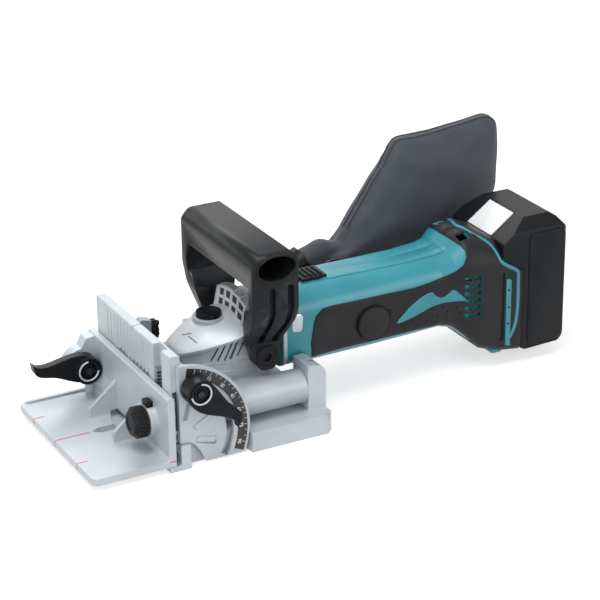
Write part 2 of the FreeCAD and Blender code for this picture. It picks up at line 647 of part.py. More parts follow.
def make_quadrant():
    """The angle quadrant: a sector with its arc slot, three ribs and a tab behind the guide."""
    centre = Vector(mm("hinge_across"), 0, mm("hinge_level"))
    near, far = -mm("quadrant_face"), mm("quadrant_thick - quadrant_face")
    disc = rod("QuadrantDisc", "y", ("hinge_across", "hinge_level"), "quadrant_radius",
               ("-quadrant_face", "quadrant_thick - quadrant_face"))
    keep = prism("QuadrantKeep", "xz", ("-quadrant_face - 1", "1 + quadrant_thick - quadrant_face"),
                 [("quadrant_left", "guide_foot"), ("13", "19.3"), ("17.5", "15"), ("21", "9.5"),
                  ("24", "2.6"),
                  ("25.5", "quadrant_floor"), ("70", "quadrant_floor"), ("70", "90"), ("quadrant_left",
                                                                                       "90")])
    sector = common("QuadrantSector", disc, keep)
    slot = arc_slot("QuadrantSlot", mm("slot_orbit - slot_half"), mm("slot_orbit + slot_half"),
                    mm("slot_end_angle") - 3, mm("bolt_angle") + 4.6, near - 1, far + 1, centre)
    tab = box("QuadrantTab", ("guide_thick", "guide_thick + 2.6"), ("-quadrant_face", "17.6 - quadrant_face"),
              ("72", "80"))
    root = box("QuadrantRoot", ("quadrant_left", "guide_thick + 2.6"),
               ("-quadrant_face", "-quadrant_face + 3"),
               ("72", "80"))
    ribs = []
    for index, angle in enumerate((73, 27, -12)):
        rib = Part.makeBox(15, 0.7, 4.2, Vector(14.5, near - 0.7, -2.1))
        rib.rotate(Vector(0, 0, 0), Vector(0, 1, 0), -angle)
        rib.translate(Vector(centre.x, 0, centre.z))
        ribs.append(fixed(f"QuadrantRib{index}", rib))
    solid = union("QuadrantSolid", sector, tab, root, *ribs)
    holes = [rod(f"QuadrantTabHole{index}", "x", (across, "76"), "1.6",
                 ("guide_thick - 1", "guide_thick + 4"))
             for index, across in enumerate(TAB_SCREWS)]
    node(cut("Quadrant", solid, slot, *holes), "angle_quadrant")
    band = arc_slot("ScaleBand", mm("scale_inner"), mm("scale_outer"), -22, 82, near - mm("scale_thick"),
                    near, centre)
    left = box("BandLeft", ("quadrant_left + 1.6", "80"), ("-80", "0"), ("quadrant_floor + 1", "100"))
    node(common("ScaleBandKeep", band, left), "angle_scale")
    screws = []
    for index, across in enumerate(TAB_SCREWS):
        head = rod(f"TabHead{index}", "x", (across, "76"), "2.7",
                   ("guide_thick + 2.6", "guide_thick + 4.4"))
        stem = rod(f"TabStem{index}", "x", (across, "76"), "1.6", ("2.4", "guide_thick + 3"))
        screws.append(union(f"TabScrew{index}", head, stem))
    node(group("QuadrantScrews", *screws), "quadrant_screws")
    strip = box("HeightScale", ("1.4", "4.4"), ("-guide_half - 0.4", "-guide_half"), ("29", "60"))
    node(strip, "height_scale")


def arc_slot(name, inner, outer, start, end, near, far, centre):
    """A ring sector about the hinge with its angles measured from +X towards +Z."""
    outer_disc = Part.makeCylinder(outer, far - near, Vector(centre.x, near, centre.z), Vector(0, 1, 0),
                                   end - start)
    inner_disc = Part.makeCylinder(inner, far - near + 2, Vector(centre.x, near - 1, centre.z),
                                   Vector(0, 1, 0), 360)
    sector = outer_disc.cut(inner_disc)
    low = min(sector_angle(v.Point, centre) for v in sector.Vertexes)
    sector.rotate(centre, Vector(0, 1, 0), low - start)
    return fixed(name, sector)


def sector_angle(point, centre):
    """Angle of a point about the hinge, from +X towards +Z."""
    return math.degrees(math.atan2(point.z - centre.z, point.x - centre.x))


# --------------------------------------------------------------------------- rack, knob and pinion
def rack_pitch():
    """The pitch of the rack's teeth."""
    return 2 * math.pi * mm("pinion_pitch") / mm("pinion_teeth")


def make_rack():
    """The rack in the guide's channel that the knob's pinion climbs."""
    line = mm("channel_centre - 1") + mm("pinion_pitch")
    pitch = rack_pitch()
    near, far = 0.9, mm("gear_face") + 0.6
    back = mm("channel_centre + channel_half") - 0.1
    low = mm("knob_level") - 7.0
    high = mm("knob_level + fence_travel") + 7.0
    root = line + 1.35
    shape = Part.makeBox(far - near, back - root, high - low, Vector(near, root, low))
    first = math.ceil((low + 1.2 - mm("knob_level")) / pitch - 0.5) + 0.5
    count = int((high - 1.2 - mm("knob_level")) / pitch - first) + 1
    for index in range(count):
        middle = mm("knob_level") + (first + index) * pitch
        points = [(root + 0.2, middle - 0.78), (line - 0.95, middle - 0.26), (line - 0.95, middle + 0.26),
                  (root + 0.2, middle + 0.78)]
        corners = [Vector(near, y, z) for y, z in points]
        face = Part.Face(Part.makePolygon(corners + corners[:1]))
        shape = shape.fuse(face.extrude(Vector(far - near, 0, 0)))
    node(fixed("HeightRack", shape.removeSplitter()), "height_rack")


def make_knob():
    """The knurled height knob, its shaft and the pinion."""
    across = mm("channel_centre - 1")
    centre = Vector(0, across, mm("knob_level"))
    spot = ("channel_centre - 1", "knob_level")
    grip = rod("KnobGrip", "x", spot, "knob_radius", ("knob_front + 3", "knob_rear - 1"))
    face = taper("KnobFace", "x", spot, "knob_radius - 3.4", "knob_radius - 1",
                 ("knob_front", "knob_front + 3"))
    neck = rod("KnobNeck", "x", spot, "knob_radius - 3", ("knob_rear - 1.4", "knob_rear - 0.4"))
    solid = union("KnobSolid", grip, face, neck)
    tools = []
    for index in range(24):
        angle = math.radians(index * 15)
        radius = mm("knob_radius") + 0.5
        groove = Part.makeCylinder(1.1, mm("knob_rear - knob_front"),
                                   Vector(mm("knob_front") + 2.2, centre.y + radius * math.cos(angle),
                                          centre.z + radius * math.sin(angle)), Vector(1, 0, 0))
        tools.append(fixed(f"Knurl{index}", groove))
    dish = taper("KnobDish", "x", spot, "6", "4.4", ("knob_front - 0.1", "knob_front + 1.4"))
    bore = rod("KnobBore", "x", spot, "shaft_radius", ("knob_front + 2", "knob_rear + 1"))
    node(cut("HeightKnob", solid, dish, bore, *tools), "height_knob")
    shaft = Part.makeCylinder(mm("shaft_radius"), 0.9 - mm("knob_front") - 2,
                              Vector(mm("knob_front") + 2, centre.y, centre.z), Vector(1, 0, 0))
    core = Part.makeCylinder(mm("pinion_pitch") - 1.25, mm("gear_face"), Vector(0.7, centre.y, centre.z),
                             Vector(1, 0, 0))
    shaft = shaft.fuse(core)
    count = int(mm("pinion_teeth"))
    for index in range(count):
        low, top = mm("pinion_pitch") - 1.6, mm("pinion_pitch") + 0.9
        points = [(low, -0.95), (mm("pinion_pitch"), -0.55), (top, -0.25), (top, 0.25),
                  (mm("pinion_pitch"), 0.55),
                  (low, 0.95)]
        corners = [Vector(0.7, r, t) for r, t in points]
        tooth = Part.Face(Part.makePolygon(corners + corners[:1])).extrude(Vector(mm("gear_face"), 0, 0))
        tooth.rotate(Vector(0, 0, 0), Vector(1, 0, 0), index * 360.0 / count)
        tooth.translate(Vector(0, centre.y, centre.z))
        shaft = shaft.fuse(tooth)
    node(fixed("PinionOnShaft", shaft.removeSplitter()), "knob_pinion")


# --------------------------------------------------------------------------- fence
def make_fence():
    """The fence: table, plate, gussets, clamp lug, knob boss and the blade's cut."""
    table = new_body("FenceTable")
    padded(table, "TablePad", "xy", ("fence_foot", "table_top"),
           [("-fence_reach", "-fence_half"), ("-fence_face + 1", "-fence_half"),
            ("-fence_face + 1", "fence_half"),
            ("-fence_reach", "fence_half")])
    rounded(table, "TableCorners", "5", lambda e: upright(e) and e.CenterOfMass.x < 1 - mm("fence_reach"))
    notch = prism("FenceNotch", "xy", ("fence_foot - 1", "table_top + 1"),
                  [("-fence_face - 0.01", "-notch_half"), ("-fence_face - 0.01", "notch_half"),
                   ("-notch_reach", "notch_half"), ("-notch_reach - 6", "0"), ("-notch_reach",
                                                                               "-notch_half")])
    plate = new_body("FencePlate")
    padded(plate, "PlatePad", "yz", ("-fence_face", "-plate_gap"),
           [("-fence_half", "fence_foot"), ("fence_half", "fence_foot"), ("fence_half", "fence_top"),
            ("-fence_half", "fence_top")])
    rounded(plate, "PlateTopRound", "1", lambda e: on_level(e, "fence_top") and e.BoundBox.YLength > 10)
    bead = box("FarBead", ("5 - fence_reach", "-fence_face"),
               ("fence_half - bead_width - 0.5", "fence_half - 0.5"),
               ("table_top - 1", "table_top + bead_height"))
    pillar = rod("BeadPillar", "z", ("-fence_face - 3", "fence_half - 4.6"), "4",
                 ("table_top - 1", "table_top + 6"))
    toe = prism("FootFillet", "xz", ("-fence_half", "fence_half"),
                [("-fence_face - 3.4", "table_top - 0.5"), ("-fence_face - 1", "table_top + 0.9"),
                 ("-fence_face + 0.5", "table_top + 3.6"), ("-fence_face + 0.5", "table_top - 0.5")])
    parts = [table, plate, bead, pillar, toe]
    for side, sign in (("Far", "1"), ("Near", "-1")):
        middle = f"{sign} * gusset_pitch"
        parts.append(prism("Gusset" + side, "xz",
                           (f"{middle} - gusset_thick / 2", f"{middle} + gusset_thick / 2"),
                           [("-fence_face + 1", "table_top - 1"),
                            ("-fence_face - gusset_reach", "table_top - 1"),
                            ("-fence_face - gusset_reach", "table_top + 7.5"), ("-fence_face + 1",
                                                                                "gusset_rise")]))
    parts.append(rod("LugEye", "y", ("lever_axis", "lever_level"), "lug_radius",
                     ("lug_inner", "lug_outer")))
    parts.append(prism("LugWeb", "xz", ("lug_inner", "lug_outer"),
                       [("lever_axis", "lever_level - lug_radius"),
                        ("-fence_face + 1", "lever_level - lug_radius - 5"),
                        ("-fence_face + 1", "fence_top - 1"), ("lever_axis + 4", "fence_top - 2"),
                        ("lever_axis", "lever_level + lug_radius")]))
    parts.append(rod("KnobBoss", "x", ("channel_centre - 1", "knob_level"), "boss_radius",
                     ("-fence_face - boss_depth", "-fence_face + 1")))
    parts.append(box("BossLatch", ("-fence_face - boss_depth + 0.6", "-fence_face + 1"),
                     ("channel_centre - 4", "channel_centre + 4"),
                     ("knob_level + boss_radius - 2", "knob_level + boss_radius + 3.2")))
    solid = union("FenceSolid", *parts)
    tools = [notch,
             rod("BladeCut", "z", ("blade_axis - plunge_travel", "0"), "blade_radius + blade_gap",
                 ("blade_level - blade_kerf / 2 - 0.5", "blade_level + blade_kerf / 2 + 0.5")),
             rod("KnobShaftHole", "x", ("channel_centre - 1", "knob_level"), "shaft_radius + running_gap",
                 ("-20", "5")),
             rod("LockBoltHole", "y", ("lever_axis", "lever_level"), "4",
                 ("lug_inner - 1", "lug_outer + 1"))]
    tools.append(box("BeadGroove", ("5 - fence_reach", "-fence_face - 6"),
                     ("fence_half - bead_width - 1.7", "fence_half - bead_width - 0.9"), ("table_top - 0.5",
                                                                                          "table_top + 2")))
    node(cut("Fence", solid, *tools), "fence")


def make_fence_bolt():
    """The bolt of the fence lever, with its head outside the lug."""
    head = rod("LockHead", "y", ("lever_axis", "lever_level"), "6", ("lug_outer", "lug_outer + 2.4"))
    stem = rod("LockStem", "y", ("lever_axis", "lever_level"), "4", ("lug_inner", "lug_outer + 0.5"))
    thread = rod("LockThread", "y", ("lever_axis", "lever_level"), "clamp_bolt",
                 ("lug_inner - 9", "lug_inner + 1"))
    node(union("LockBolt", head, stem, thread), "fence_lock_bolt")


# --------------------------------------------------------------------------- clamp levers
def make_lever(name, label, axis_x, axis_z, near_face, angle, mirror):
    """A wing lever: a round hub with a bored socket, and a curved tapering arm with a ribbed tip.

    angle turns the arm from -X towards +Z, and mirror -1 turns the bend the other way.
    """
    hub_radius, depth, arm = mm("lever_hub"), mm("lever_depth"), mm("lever_arm")
    hub = Part.makeCylinder(hub_radius, depth, Vector(0, 0, 0), Vector(0, 1, 0))
    bend = [(0, 11.4), (-14, 12.4), (-28, 9.0), (-42, 9.6), (-arm - 1.5, 12.2)]
    under = [(-arm - 0.5, 6.4), (-41, 2.0), (-28, -1.5), (-17, -5.5), (-7, -9.2)]
    upper_edge = Part.BSplineCurve()
    upper_edge.interpolate([Vector(x, 0, z * mirror) for x, z in bend])
    under_edge = Part.BSplineCurve()
    under_edge.interpolate([Vector(x, 0, z * mirror) for x, z in under])
    last, first = bend[-1], under[0]
    tip = Part.LineSegment(Vector(last[0], 0, last[1] * mirror), Vector(first[0], 0, first[1] * mirror))
    close = Part.LineSegment(Vector(under[-1][0], 0, under[-1][1] * mirror),
                             Vector(bend[0][0], 0, bend[0][1] * mirror))
    outline = Part.Wire([upper_edge.toShape(), tip.toShape(), under_edge.toShape(), close.toShape()])
    wing = Part.Face(outline).extrude(Vector(0, mm("lever_web"), 0))
    wing.translate(Vector(0, 2.6, 0))
    shape = hub.fuse(wing)
    socket = Part.makeCylinder(6.4, 3.2, Vector(0, -1, 0), Vector(0, 1, 0))
    ring = Part.makeCylinder(9.2, 1.2, Vector(0, -0.01, 0), Vector(0, 1, 0))
    ring = ring.cut(Part.makeCylinder(8.2, 3, Vector(0, -1, 0), Vector(0, 1, 0)))
    bore = Part.makeCylinder(mm("clamp_bolt") + mm("running_gap"), depth + 2, Vector(0, 3.4, 0),
                             Vector(0, 1, 0))
    shape = shape.cut(socket).cut(ring).cut(bore)
    for index in range(5):
        rib = Part.makeBox(1.0, mm("lever_web") + 2, 1.0, Vector(-arm + 1.5 + index * 2.2, 1.6, 0))
        rib.translate(Vector(0, 0, mirror * (11.6 - 0.32 * index) - 0.5))
        shape = shape.cut(rib)
    shape = shape.removeSplitter()
    lever = fixed(name, shape)
    lever.Placement = Placement(Vector(axis_x, near_face, axis_z), Rotation(Vector(0, 1, 0), angle))
    node(lever, label)


def make_levers():
    """The fence's lever on the far side and the angle lever on the near side, each with its cap screw."""
    make_lever("FenceLever", "fence_lever", mm("lever_axis"), mm("lever_level"),
               mm("lug_inner - 0.3 - lever_depth"), 3.0, 1)
    x, z = (mm(text) for text in CLAMP_SPOT)
    make_lever("AngleLever", "angle_lever", x, z, -mm("quadrant_face + washer_thick + 0.3 + lever_depth"),
               214.0, 1)


# --------------------------------------------------------------------------- blade and spindle
def make_blade():
    """The slot-cutting blade: a plate with six wide teeth."""
    level, body_half = mm("blade_level"), mm("blade_body") / 2
    plate = Part.makeCylinder(mm("blade_radius") - 2.2, 2 * body_half, Vector(0, 0, -body_half))
    teeth = int(mm("blade_teeth"))
    for index in range(teeth):
        gullet = Part.makeCylinder(5.2, 10, Vector(mm("blade_radius") - 4.5, 6.4, -5))
        gullet.rotate(Vector(0, 0, 0), Vector(0, 0, 1), index * 360.0 / teeth)
        plate = plate.cut(gullet)
        tooth = Part.makeBox(7, 3.2, mm("blade_kerf"),
                             Vector(mm("blade_radius") - 7.05, -1.6, -mm("blade_kerf") / 2))
        tooth.rotate(Vector(0, 0, 0), Vector(0, 0, 1), index * 360.0 / teeth)
        plate = plate.fuse(tooth)
    plate = plate.cut(Part.makeCylinder(mm("blade_bore"), 10, Vector(0, 0, -5)))
    plate = plate.removeSplitter()
    blade = fixed("Blade", plate)
    blade.Placement = Placement(Vector(mm("blade_axis"), 0, level), Rotation())
    node(blade, "blade")


def make_spindle():
    """The spindle with its flange, the lock nut and the bevel gear."""
    axis = ("blade_axis", "0")
    top = "blade_level + blade_body / 2"
    foot = "blade_level - blade_body / 2"
    spindle_parts = [rod("SpindleStem", "z", axis, "spindle_radius", ("spindle_foot", "gear_low + 8")),
                     rod("SpindleJournal", "z", axis, "journal_radius", ("gear_low + 7", "journal_top")),
                     rod("SpindleSpigot", "z", axis, "blade_bore", (foot, "17"))]
    node(union("Spindle", *spindle_parts), "spindle")
    flange = tube("InnerFlange", "z", axis, "flange_radius", "blade_bore", (top, "flange_top"))
    node(flange, "inner_flange")
    nut = rod("NutDisc", "z", axis, "nut_radius", ("spindle_foot + 0.2", foot))
    holes = [rod("NutBore", "z", axis, "spindle_radius", ("0", "20"))]
    for index in range(4):
        holes.append(rod(f"NutPinHole{index}", "z",
                         (f"blade_axis + 12 * cos({index} * 90)", f"12 * sin({index} * 90)"), "2", ("0",
                                                                                                    "6")))
    node(cut("LockNut", nut, *holes), "lock_nut")
    node(bevel_gear(), "bevel_gear")


def ratio_depth():
    """Distance of the gear's pitch circle below the cones' common point."""
    return mm("gear_pitch_radius") * mm("pinion_count") / mm("gear_teeth")


def swept_tooth(near_points, scale):
    """A tooth between its large end and the same outline shrunk towards the cones' point."""
    wires = []
    for size in (1.0, scale):
        corners = [point * size for point in near_points]
        wires.append(Part.makePolygon(corners + corners[:1]))
    return Part.makeLoft(wires, True, True)


def bevel_gear():
    """The large bevel gear on the spindle, with four holes for the lock pin."""
    radius, depth, count = mm("gear_pitch_radius"), ratio_depth(), int(mm("gear_teeth"))
    scale = (radius - mm("gear_width")) / radius
    apex = Vector(mm("blade_axis"), 0, mm("motor_level"))
    low = mm("gear_low") - apex.z
    rim_top = -depth - 1.5
    profile = [Vector(mm("spindle_radius"), 0, low), Vector(radius * scale, 0, low),
               Vector(radius + 0.6, 0, low + 3),
               Vector(radius + 0.6, 0, rim_top), Vector(radius * scale - 0.4, 0, rim_top * scale),
               Vector(mm("spindle_radius"), 0, rim_top * scale)]
    gear = Part.Face(Part.makePolygon(profile + profile[:1])).revolve(Vector(0, 0, 0), Vector(0, 0, 1), 360)
    for index in range(count):
        points = [Vector(radius, -0.95, rim_top - 0.4), Vector(radius, -0.30, -depth + 0.75),
                  Vector(radius, 0.30, -depth + 0.75), Vector(radius, 0.95, rim_top - 0.4)]
        tooth = swept_tooth(points, scale)
        tooth.rotate(Vector(0, 0, 0), Vector(0, 0, 1), (index + 0.5) * 360.0 / count)
        gear = gear.fuse(tooth)
    for index in range(4):
        hole = Part.makeCylinder(mm("lock_pin") + 0.4, 30, Vector(mm("lock_offset"), 0, -16.0))
        hole.rotate(Vector(0, 0, 0), Vector(0, 0, 1), index * 90)
        gear = gear.cut(hole)
    gear.translate(apex)
    return fixed("BevelGear", gear.removeSplitter())


def bevel_pinion():
    """The small bevel gear on the motor shaft."""
    radius, depth, count = mm("gear_pitch_radius"), ratio_depth(), int(mm("pinion_count"))
    scale = (radius - mm("gear_width")) / radius
    apex = Vector(mm("blade_axis"), 0, mm("motor_level"))
    root = depth - 1.6
    profile = [Vector(radius, 0, 0), Vector(radius, 0, root), Vector(radius * scale, 0, root * scale),
               Vector(radius * scale, 0, 0)]
    pinion = Part.Face(Part.makePolygon(profile + profile[:1])).revolve(Vector(0, 0, 0), Vector(1, 0, 0),
                                                                        360)
    for index in range(count):
        points = [Vector(radius, -0.95, -root + 0.4), Vector(radius, -0.34, -depth - 0.8),
                  Vector(radius, 0.34, -depth - 0.8), Vector(radius, 0.95, -root + 0.4)]
        tooth = swept_tooth(points, scale)
        tooth.rotate(Vector(0, 0, 0), Vector(1, 0, 0), index * 360.0 / count)
        pinion = pinion.fuse(tooth)
    pinion.translate(apex)
    return fixed("BevelPinion", pinion.removeSplitter())


# --------------------------------------------------------------------------- gear housing
DOME = ((28.6, 61.5, 64.8, 6.6), (30.6, 62.6, 67.6, 11.0), (37.0, 64.6, 71.8, 16.8),
        (45.0, 66.8, 76.8, 21.8),
        (53.0, 69.2, 80.6, 25.6), (62.0, 71.6, 82.6, 28.8), (72.0, 74.2, 84.4, 31.0), (82.0, 76.4, 86.4,
                                                                                       31.0),
        (90.0, 78.0, 88.0, 31.0))


def dome_section(x, eaves, top, half):
    """One section of the housing's domed cover: flat foot, upright lip and a curved roof."""
    rise = top - eaves
    roof = Part.BSplineCurve()
    roof.interpolate([Vector(x, -half, eaves), Vector(x, -half * 0.62, eaves + rise * 0.62),
                      Vector(x, 0, top),
                      Vector(x, half * 0.62, eaves + rise * 0.62), Vector(x, half, eaves)])
    low = eaves - 2.2
    corners = [Vector(x, half, eaves), Vector(x, half, low), Vector(x, -half, low), Vector(x, -half, eaves)]
    lines = [Part.LineSegment(corners[i], corners[i + 1]).toShape() for i in range(3)]
    return Part.Wire([roof.toShape()] + lines)


def make_gear_housing():
    """The die-cast gear housing: domed nose over the bevel gears and the round collar at the motor."""
    dome = fixed("HousingDome", Part.makeLoft([dome_section(*station) for station in DOME], True, False))
    skirt_plan = new_body("SkirtPlan")
    ahead = [("30.2", "-7"), ("33.6", "-12.4"), ("39", "-16.6"), ("46", "-20.8"), ("56", "-25"),
             ("68", "-28.8")]
    padded(skirt_plan, "SkirtPlanPad", "xy", ("49", "90"),
           ahead + [("90", "-29.4"), ("90", "29.4")] + [(x, y[1:]) for x, y in reversed(ahead)])
    skirt_side = prism("SkirtSide", "xz", ("-40", "40"),
                       [("28", "49"), ("28", "61.4"), ("45", "66.4"), ("62", "71"), ("90", "77.8"),
                        ("90", "49")])
    nose = common("HousingSkirt", skirt_plan, skirt_side)
    motor = ("0", "motor_level")
    collar = rod("HousingCollar", "x", motor, "barrel_rise + 1.4", ("82", "housing_rear - 5"))
    rear_band = rod("HousingBand", "x", motor, "barrel_rise", ("housing_rear - 6", "housing_rear"))
    saddle = rod("LockSaddle", "z", ("blade_axis + lock_offset", "0"), "12.4", ("78", "83.4"))
    tools = [rod("GearChamber", "z", ("blade_axis", "0"), "gear_chamber",
                 ("gear_low - 1.4", "gear_low + 12.4")),
             rod("PinionChamber", "x", motor, "9.2", ("blade_axis + 6.6", "90")),
             rod("BearingSeat", "x", motor, "11", ("84", "92")),
             rod("FanChamber", "x", motor, "fan_radius + 3.6", ("92", "housing_rear + 1")),
             box("BoxSeat", ("28", "98.2"), ("-housing_half", "housing_half"),
                 ("30", "box_top + running_gap")),
             rod("SpindleBore", "z", ("blade_axis", "0"), "spindle_radius + 0.6", ("40", "60")),
             rod("UpperSeat", "z", ("blade_axis", "0"), "5.2", ("60", "journal_top + 1")),
             rod("LockBore", "z", ("blade_axis + lock_offset", "0"), "lock_pin + running_gap",
                 ("60", "90")),
             rod("LockWell", "z", ("blade_axis + lock_offset", "0"), "lock_cap + 0.3", ("78.4", "90"))]
    for side, sign in (("Far", "1"), ("Near", "-1")):
        tools.append(rod("BossSeat" + side, "y", ("pivot_place", "pivot_level"), "boss_outer + running_gap",
                         sorted_pair(sign, "boss_root - 0.1", "leg_inner + 1")))
    count = 7
    for ring, radius in enumerate(("24.4", "17.6")):
        for index in range(count):
            hole = Part.makeBox(14, 5.4, 5.0, Vector(80, -2.7, mm(radius) - 2.5))
            hole.rotate(Vector(0, 0, 0), Vector(1, 0, 0), (index - 3) * 19 * (1 + 0.3 * ring))
            hole.translate(Vector(0, 0, mm("motor_level")))
            tools.append(fixed(f"VentHole{ring}{index}", hole))
    for side_name, sign in (("Far", 1), ("Near", -1)):
        for index in range(4):
            louvre = Part.makeBox(2.4, 4.0, 17, Vector(-1.2, -2.0, -8.5))
            louvre.rotate(Vector(0, 0, 0), Vector(0, 1, 0), 24)
            louvre.translate(Vector(54 + 5.0 * index, sign * (mm("housing_half") - 1.8), 61.5 + index))
            tools.append(fixed(f"Louvre{side_name}{index}", louvre))
    solid = union("GearHousingSolid", nose, dome, collar, rear_band, saddle)
    node(cut("GearHousing", solid, *tools), "gear_housing")


def make_bearing_box():
    """The lower gear case that holds the spindle's bearing and joins the slide tubes."""
    body = new_body("BearingBox")
    padded(body, "BoxPad", "xy", ("housing_foot + 2", "box_top"),
           [("33", "-14"), ("38", "-25"), ("46", "-28"), ("96", "-28"), ("96", "28"), ("46", "28"),
            ("38", "25"),
            ("33", "14")])
    lip = prism("BoxLip", "xy", ("box_top - 5", "box_top"),
                [("30.4", "-14"), ("34", "-23.4"), ("44", "-29.4"), ("98", "-29.4"), ("98", "29.4"),
                 ("44", "29.4"),
                 ("34", "23.4"), ("30.4", "14")])
    skirt = rod("SpindleSkirt", "z", ("blade_axis", "0"), "18", ("housing_foot - 2.4", "housing_foot + 3"))
    tools = [rod("BallSeat", "z", ("blade_axis", "0"), "14", ("32", "50")),
             rod("SkirtBore", "z", ("blade_axis", "0"), "spindle_radius + 0.6", ("10", "40"))]
    node(cut("BearingBoxCut", union("BearingBoxSolid", body, lip, skirt), *tools), "bearing_box")
    rings = [tube("LowerRace", "z", ("blade_axis", "0"), "14", "spindle_radius + 0.05", ("34", "43")),
             tube("UpperRace", "z", ("blade_axis", "0"), "5.2", "journal_radius + 0.05", ("69", "75")),
             tube("MotorRace", "x", ("0", "motor_level"), "11", "shaft_motor + 0.05", ("85", "92")),
             tube("RearRace", "x", ("0", "motor_level"), "8", "shaft_motor + 0.05",
                  ("rear_bearing", "rear_bearing + 6"))]
    node(group("Bearings", *rings), "bearings")


def make_slide_tubes():
    """The two tubes that run on the guide rods, with webs to the gear case and the stop lug."""
    sides = []
    for side, sign in (("Far", "1"), ("Near", "-1")):
        spot = (f"{sign} * rod_offset", "rod_level")
        skin = rod("TubeSkin" + side, "x", spot, "tube_radius", ("tube_front", "tube_rear"))
        low, high = sorted_pair(sign, "28", "rod_offset - 4")
        web = box("TubeWeb" + side, ("48", "96"), (low, high), ("24", "40"))
        shape = [skin, web]
        if sign == "1":
            shape.append(box("StopLug", ("95", "103"), ("stop_side - 6", "stop_side + 5"),
                             ("stop_level - 6", "stop_level + 6")))
            shape.append(box("StopLugWeb", ("95", "103"), ("rod_offset + 4", "stop_side - 1"),
                             ("rod_level + 8", "stop_level + 6")))
        tools = [rod("TubeRodBore" + side, "x", spot, "rod_radius + running_gap",
                     ("tube_front - 1", "tube_rear + 1")),
                 rod("TubeSpringBore" + side, "x", spot, "spring_bore",
                     ("tube_front - 1", "tube_rear - tube_end_wall"))]
        if sign == "1":
            tools.append(rod("StopScrewHole", "x", ("stop_side", "stop_level"), "2.5", ("90", "104")))
        sides.append(cut("Tube" + side, union("TubeSolid" + side, *shape), *tools))
    node(sides[0], "slide_tube_far")
    node(sides[1], "slide_tube_near")
    stem = rod("StopScrewStem", "x", ("stop_side", "stop_level"), "2.5",
               ("stop_post + 20 + plunge_travel", "104"))
    head = rod("StopScrewHead", "x", ("stop_side", "stop_level"), "4.6", ("103", "107"))
    nut = rod("StopScrewNut", "x", ("stop_side", "stop_level"), "4.8", ("91.4", "94.9"))
    doc.recompute()
    node(union("StopScrew", stem, head, nut), "stop_screw")


def make_turret():
    """The depth turret: a knurled dial with three stop pads of different height."""
    spot = ("stop_side", "stop_level")
    dial = rod("TurretDial", "x", spot, "stop_radius", ("stop_post + 11.3", "stop_post + 16"))
    pads = [dial, rod("TurretStem", "x", spot, "2.45", ("stop_post - 2", "stop_post + 12"))]
    for index in range(3):
        pad = Part.makeBox(3.4 - index * 1.1, 3.2, 3.2, Vector(mm("stop_post") + 15.5, -1.6, -1.6))
        pad.translate(Vector(0, 4.4 * math.sin(math.radians(120 * index)),
                             4.4 * math.cos(math.radians(120 * index))))
        pad.translate(Vector(0, mm("stop_side"), mm("stop_level")))
        pads.append(fixed(f"TurretPad{index}", pad))
    clip = rod("TurretClip", "x", spot, "4.4", ("stop_post - 2.4", "stop_post - 0.4"))
    pads.append(clip)
    notches = []
    for index in range(12):
        angle = math.radians(30 * index)
        groove = Part.makeCylinder(0.9, 8,
                                   Vector(mm("stop_post") + 10, mm("stop_side") + 8.3 * math.cos(angle),
                                                 mm("stop_level") + 8.3 * math.sin(angle)), Vector(1, 0, 0))
        notches.append(fixed(f"TurretNotch{index}", groove))
    node(cut("DepthTurret", union("TurretSolid", *pads), *notches), "depth_turret")


def make_shaft_lock():
    """The round shaft-lock button, its pin and its return spring."""
    spot = ("blade_axis + lock_offset", "0")
    cap = rod("LockCap", "z", spot, "lock_cap", ("83.4", "86.8"))
    dish = doc.addObject("Part::Sphere", "LockDish")
    bind(dish, Radius="22")
    place(dish, spot[0], "0", "85.6 + 22")
    pin = rod("LockPin", "z", spot, "lock_pin", ("gear_low + 12.9", "84"))
    node(union("ShaftLock", cut("LockCapDished", cap, dish), pin), "shaft_lock")


# --------------------------------------------------------------------------- motor
def make_armature():
    """The motor's turning parts: shaft, laminated core, commutator and fan, with the pinion."""
    spot = ("0", "motor_level")
    shaft = rod("MotorShaft", "x", spot, "shaft_motor",
                ("blade_axis + gear_pitch_radius", "rear_bearing + 6"))
    node(shaft, "motor_shaft")
    core = tube("CoreTube", "x", spot, "core_radius", "shaft_motor",
                ("core_front", "core_front + core_length"))
    slots = []
    for index in range(12):
        slot = Part.makeBox(60, 1.6, 5, Vector(mm("core_front") - 5, -0.8, mm("core_radius") - 3.6))
        slot.rotate(Vector(0, 0, 0), Vector(1, 0, 0), index * 30)
        slot.translate(Vector(0, 0, mm("motor_level")))
        slots.append(fixed(f"CoreSlot{index}", slot))
    node(cut("ArmatureCore", core, *slots), "armature_core")
    commutator = tube("CommutatorRing", "x", spot, "commutator_radius", "shaft_motor",
                      ("commutator_front", "commutator_front + commutator_length"))
    node(commutator, "commutator")
    hub = tube("FanHub", "x", spot, "8", "shaft_motor", ("fan_front", "fan_front + fan_depth"))
    disc = tube("FanDisc", "x", spot, "fan_radius", "shaft_motor",
                ("fan_front + fan_depth - 1.6", "fan_front + fan_depth"))
    blades = [hub, disc]
    for index in range(14):
        vane = Part.makeBox(mm("fan_depth") - 0.5, 1.2, 13.5, Vector(mm("fan_front"), -0.6, 7.5))
        vane.rotate(Vector(0, 0, 0), Vector(1, 0, 0), index * 360.0 / 14)
        vane.translate(Vector(0, 0, mm("motor_level")))
        blades.append(fixed(f"FanVane{index}", vane))
    node(union("CoolingFan", *blades), "cooling_fan")
    node(bevel_pinion(), "bevel_pinion")


def make_field():
    """The magnet can round the armature, and the plate that guides the air past the fan."""
    spot = ("0", "motor_level")
    node(tube("FieldRing", "x", spot, "field_outer", "field_inner",
              ("core_front - 3", "core_front + core_length + 3")),
         "motor_field")


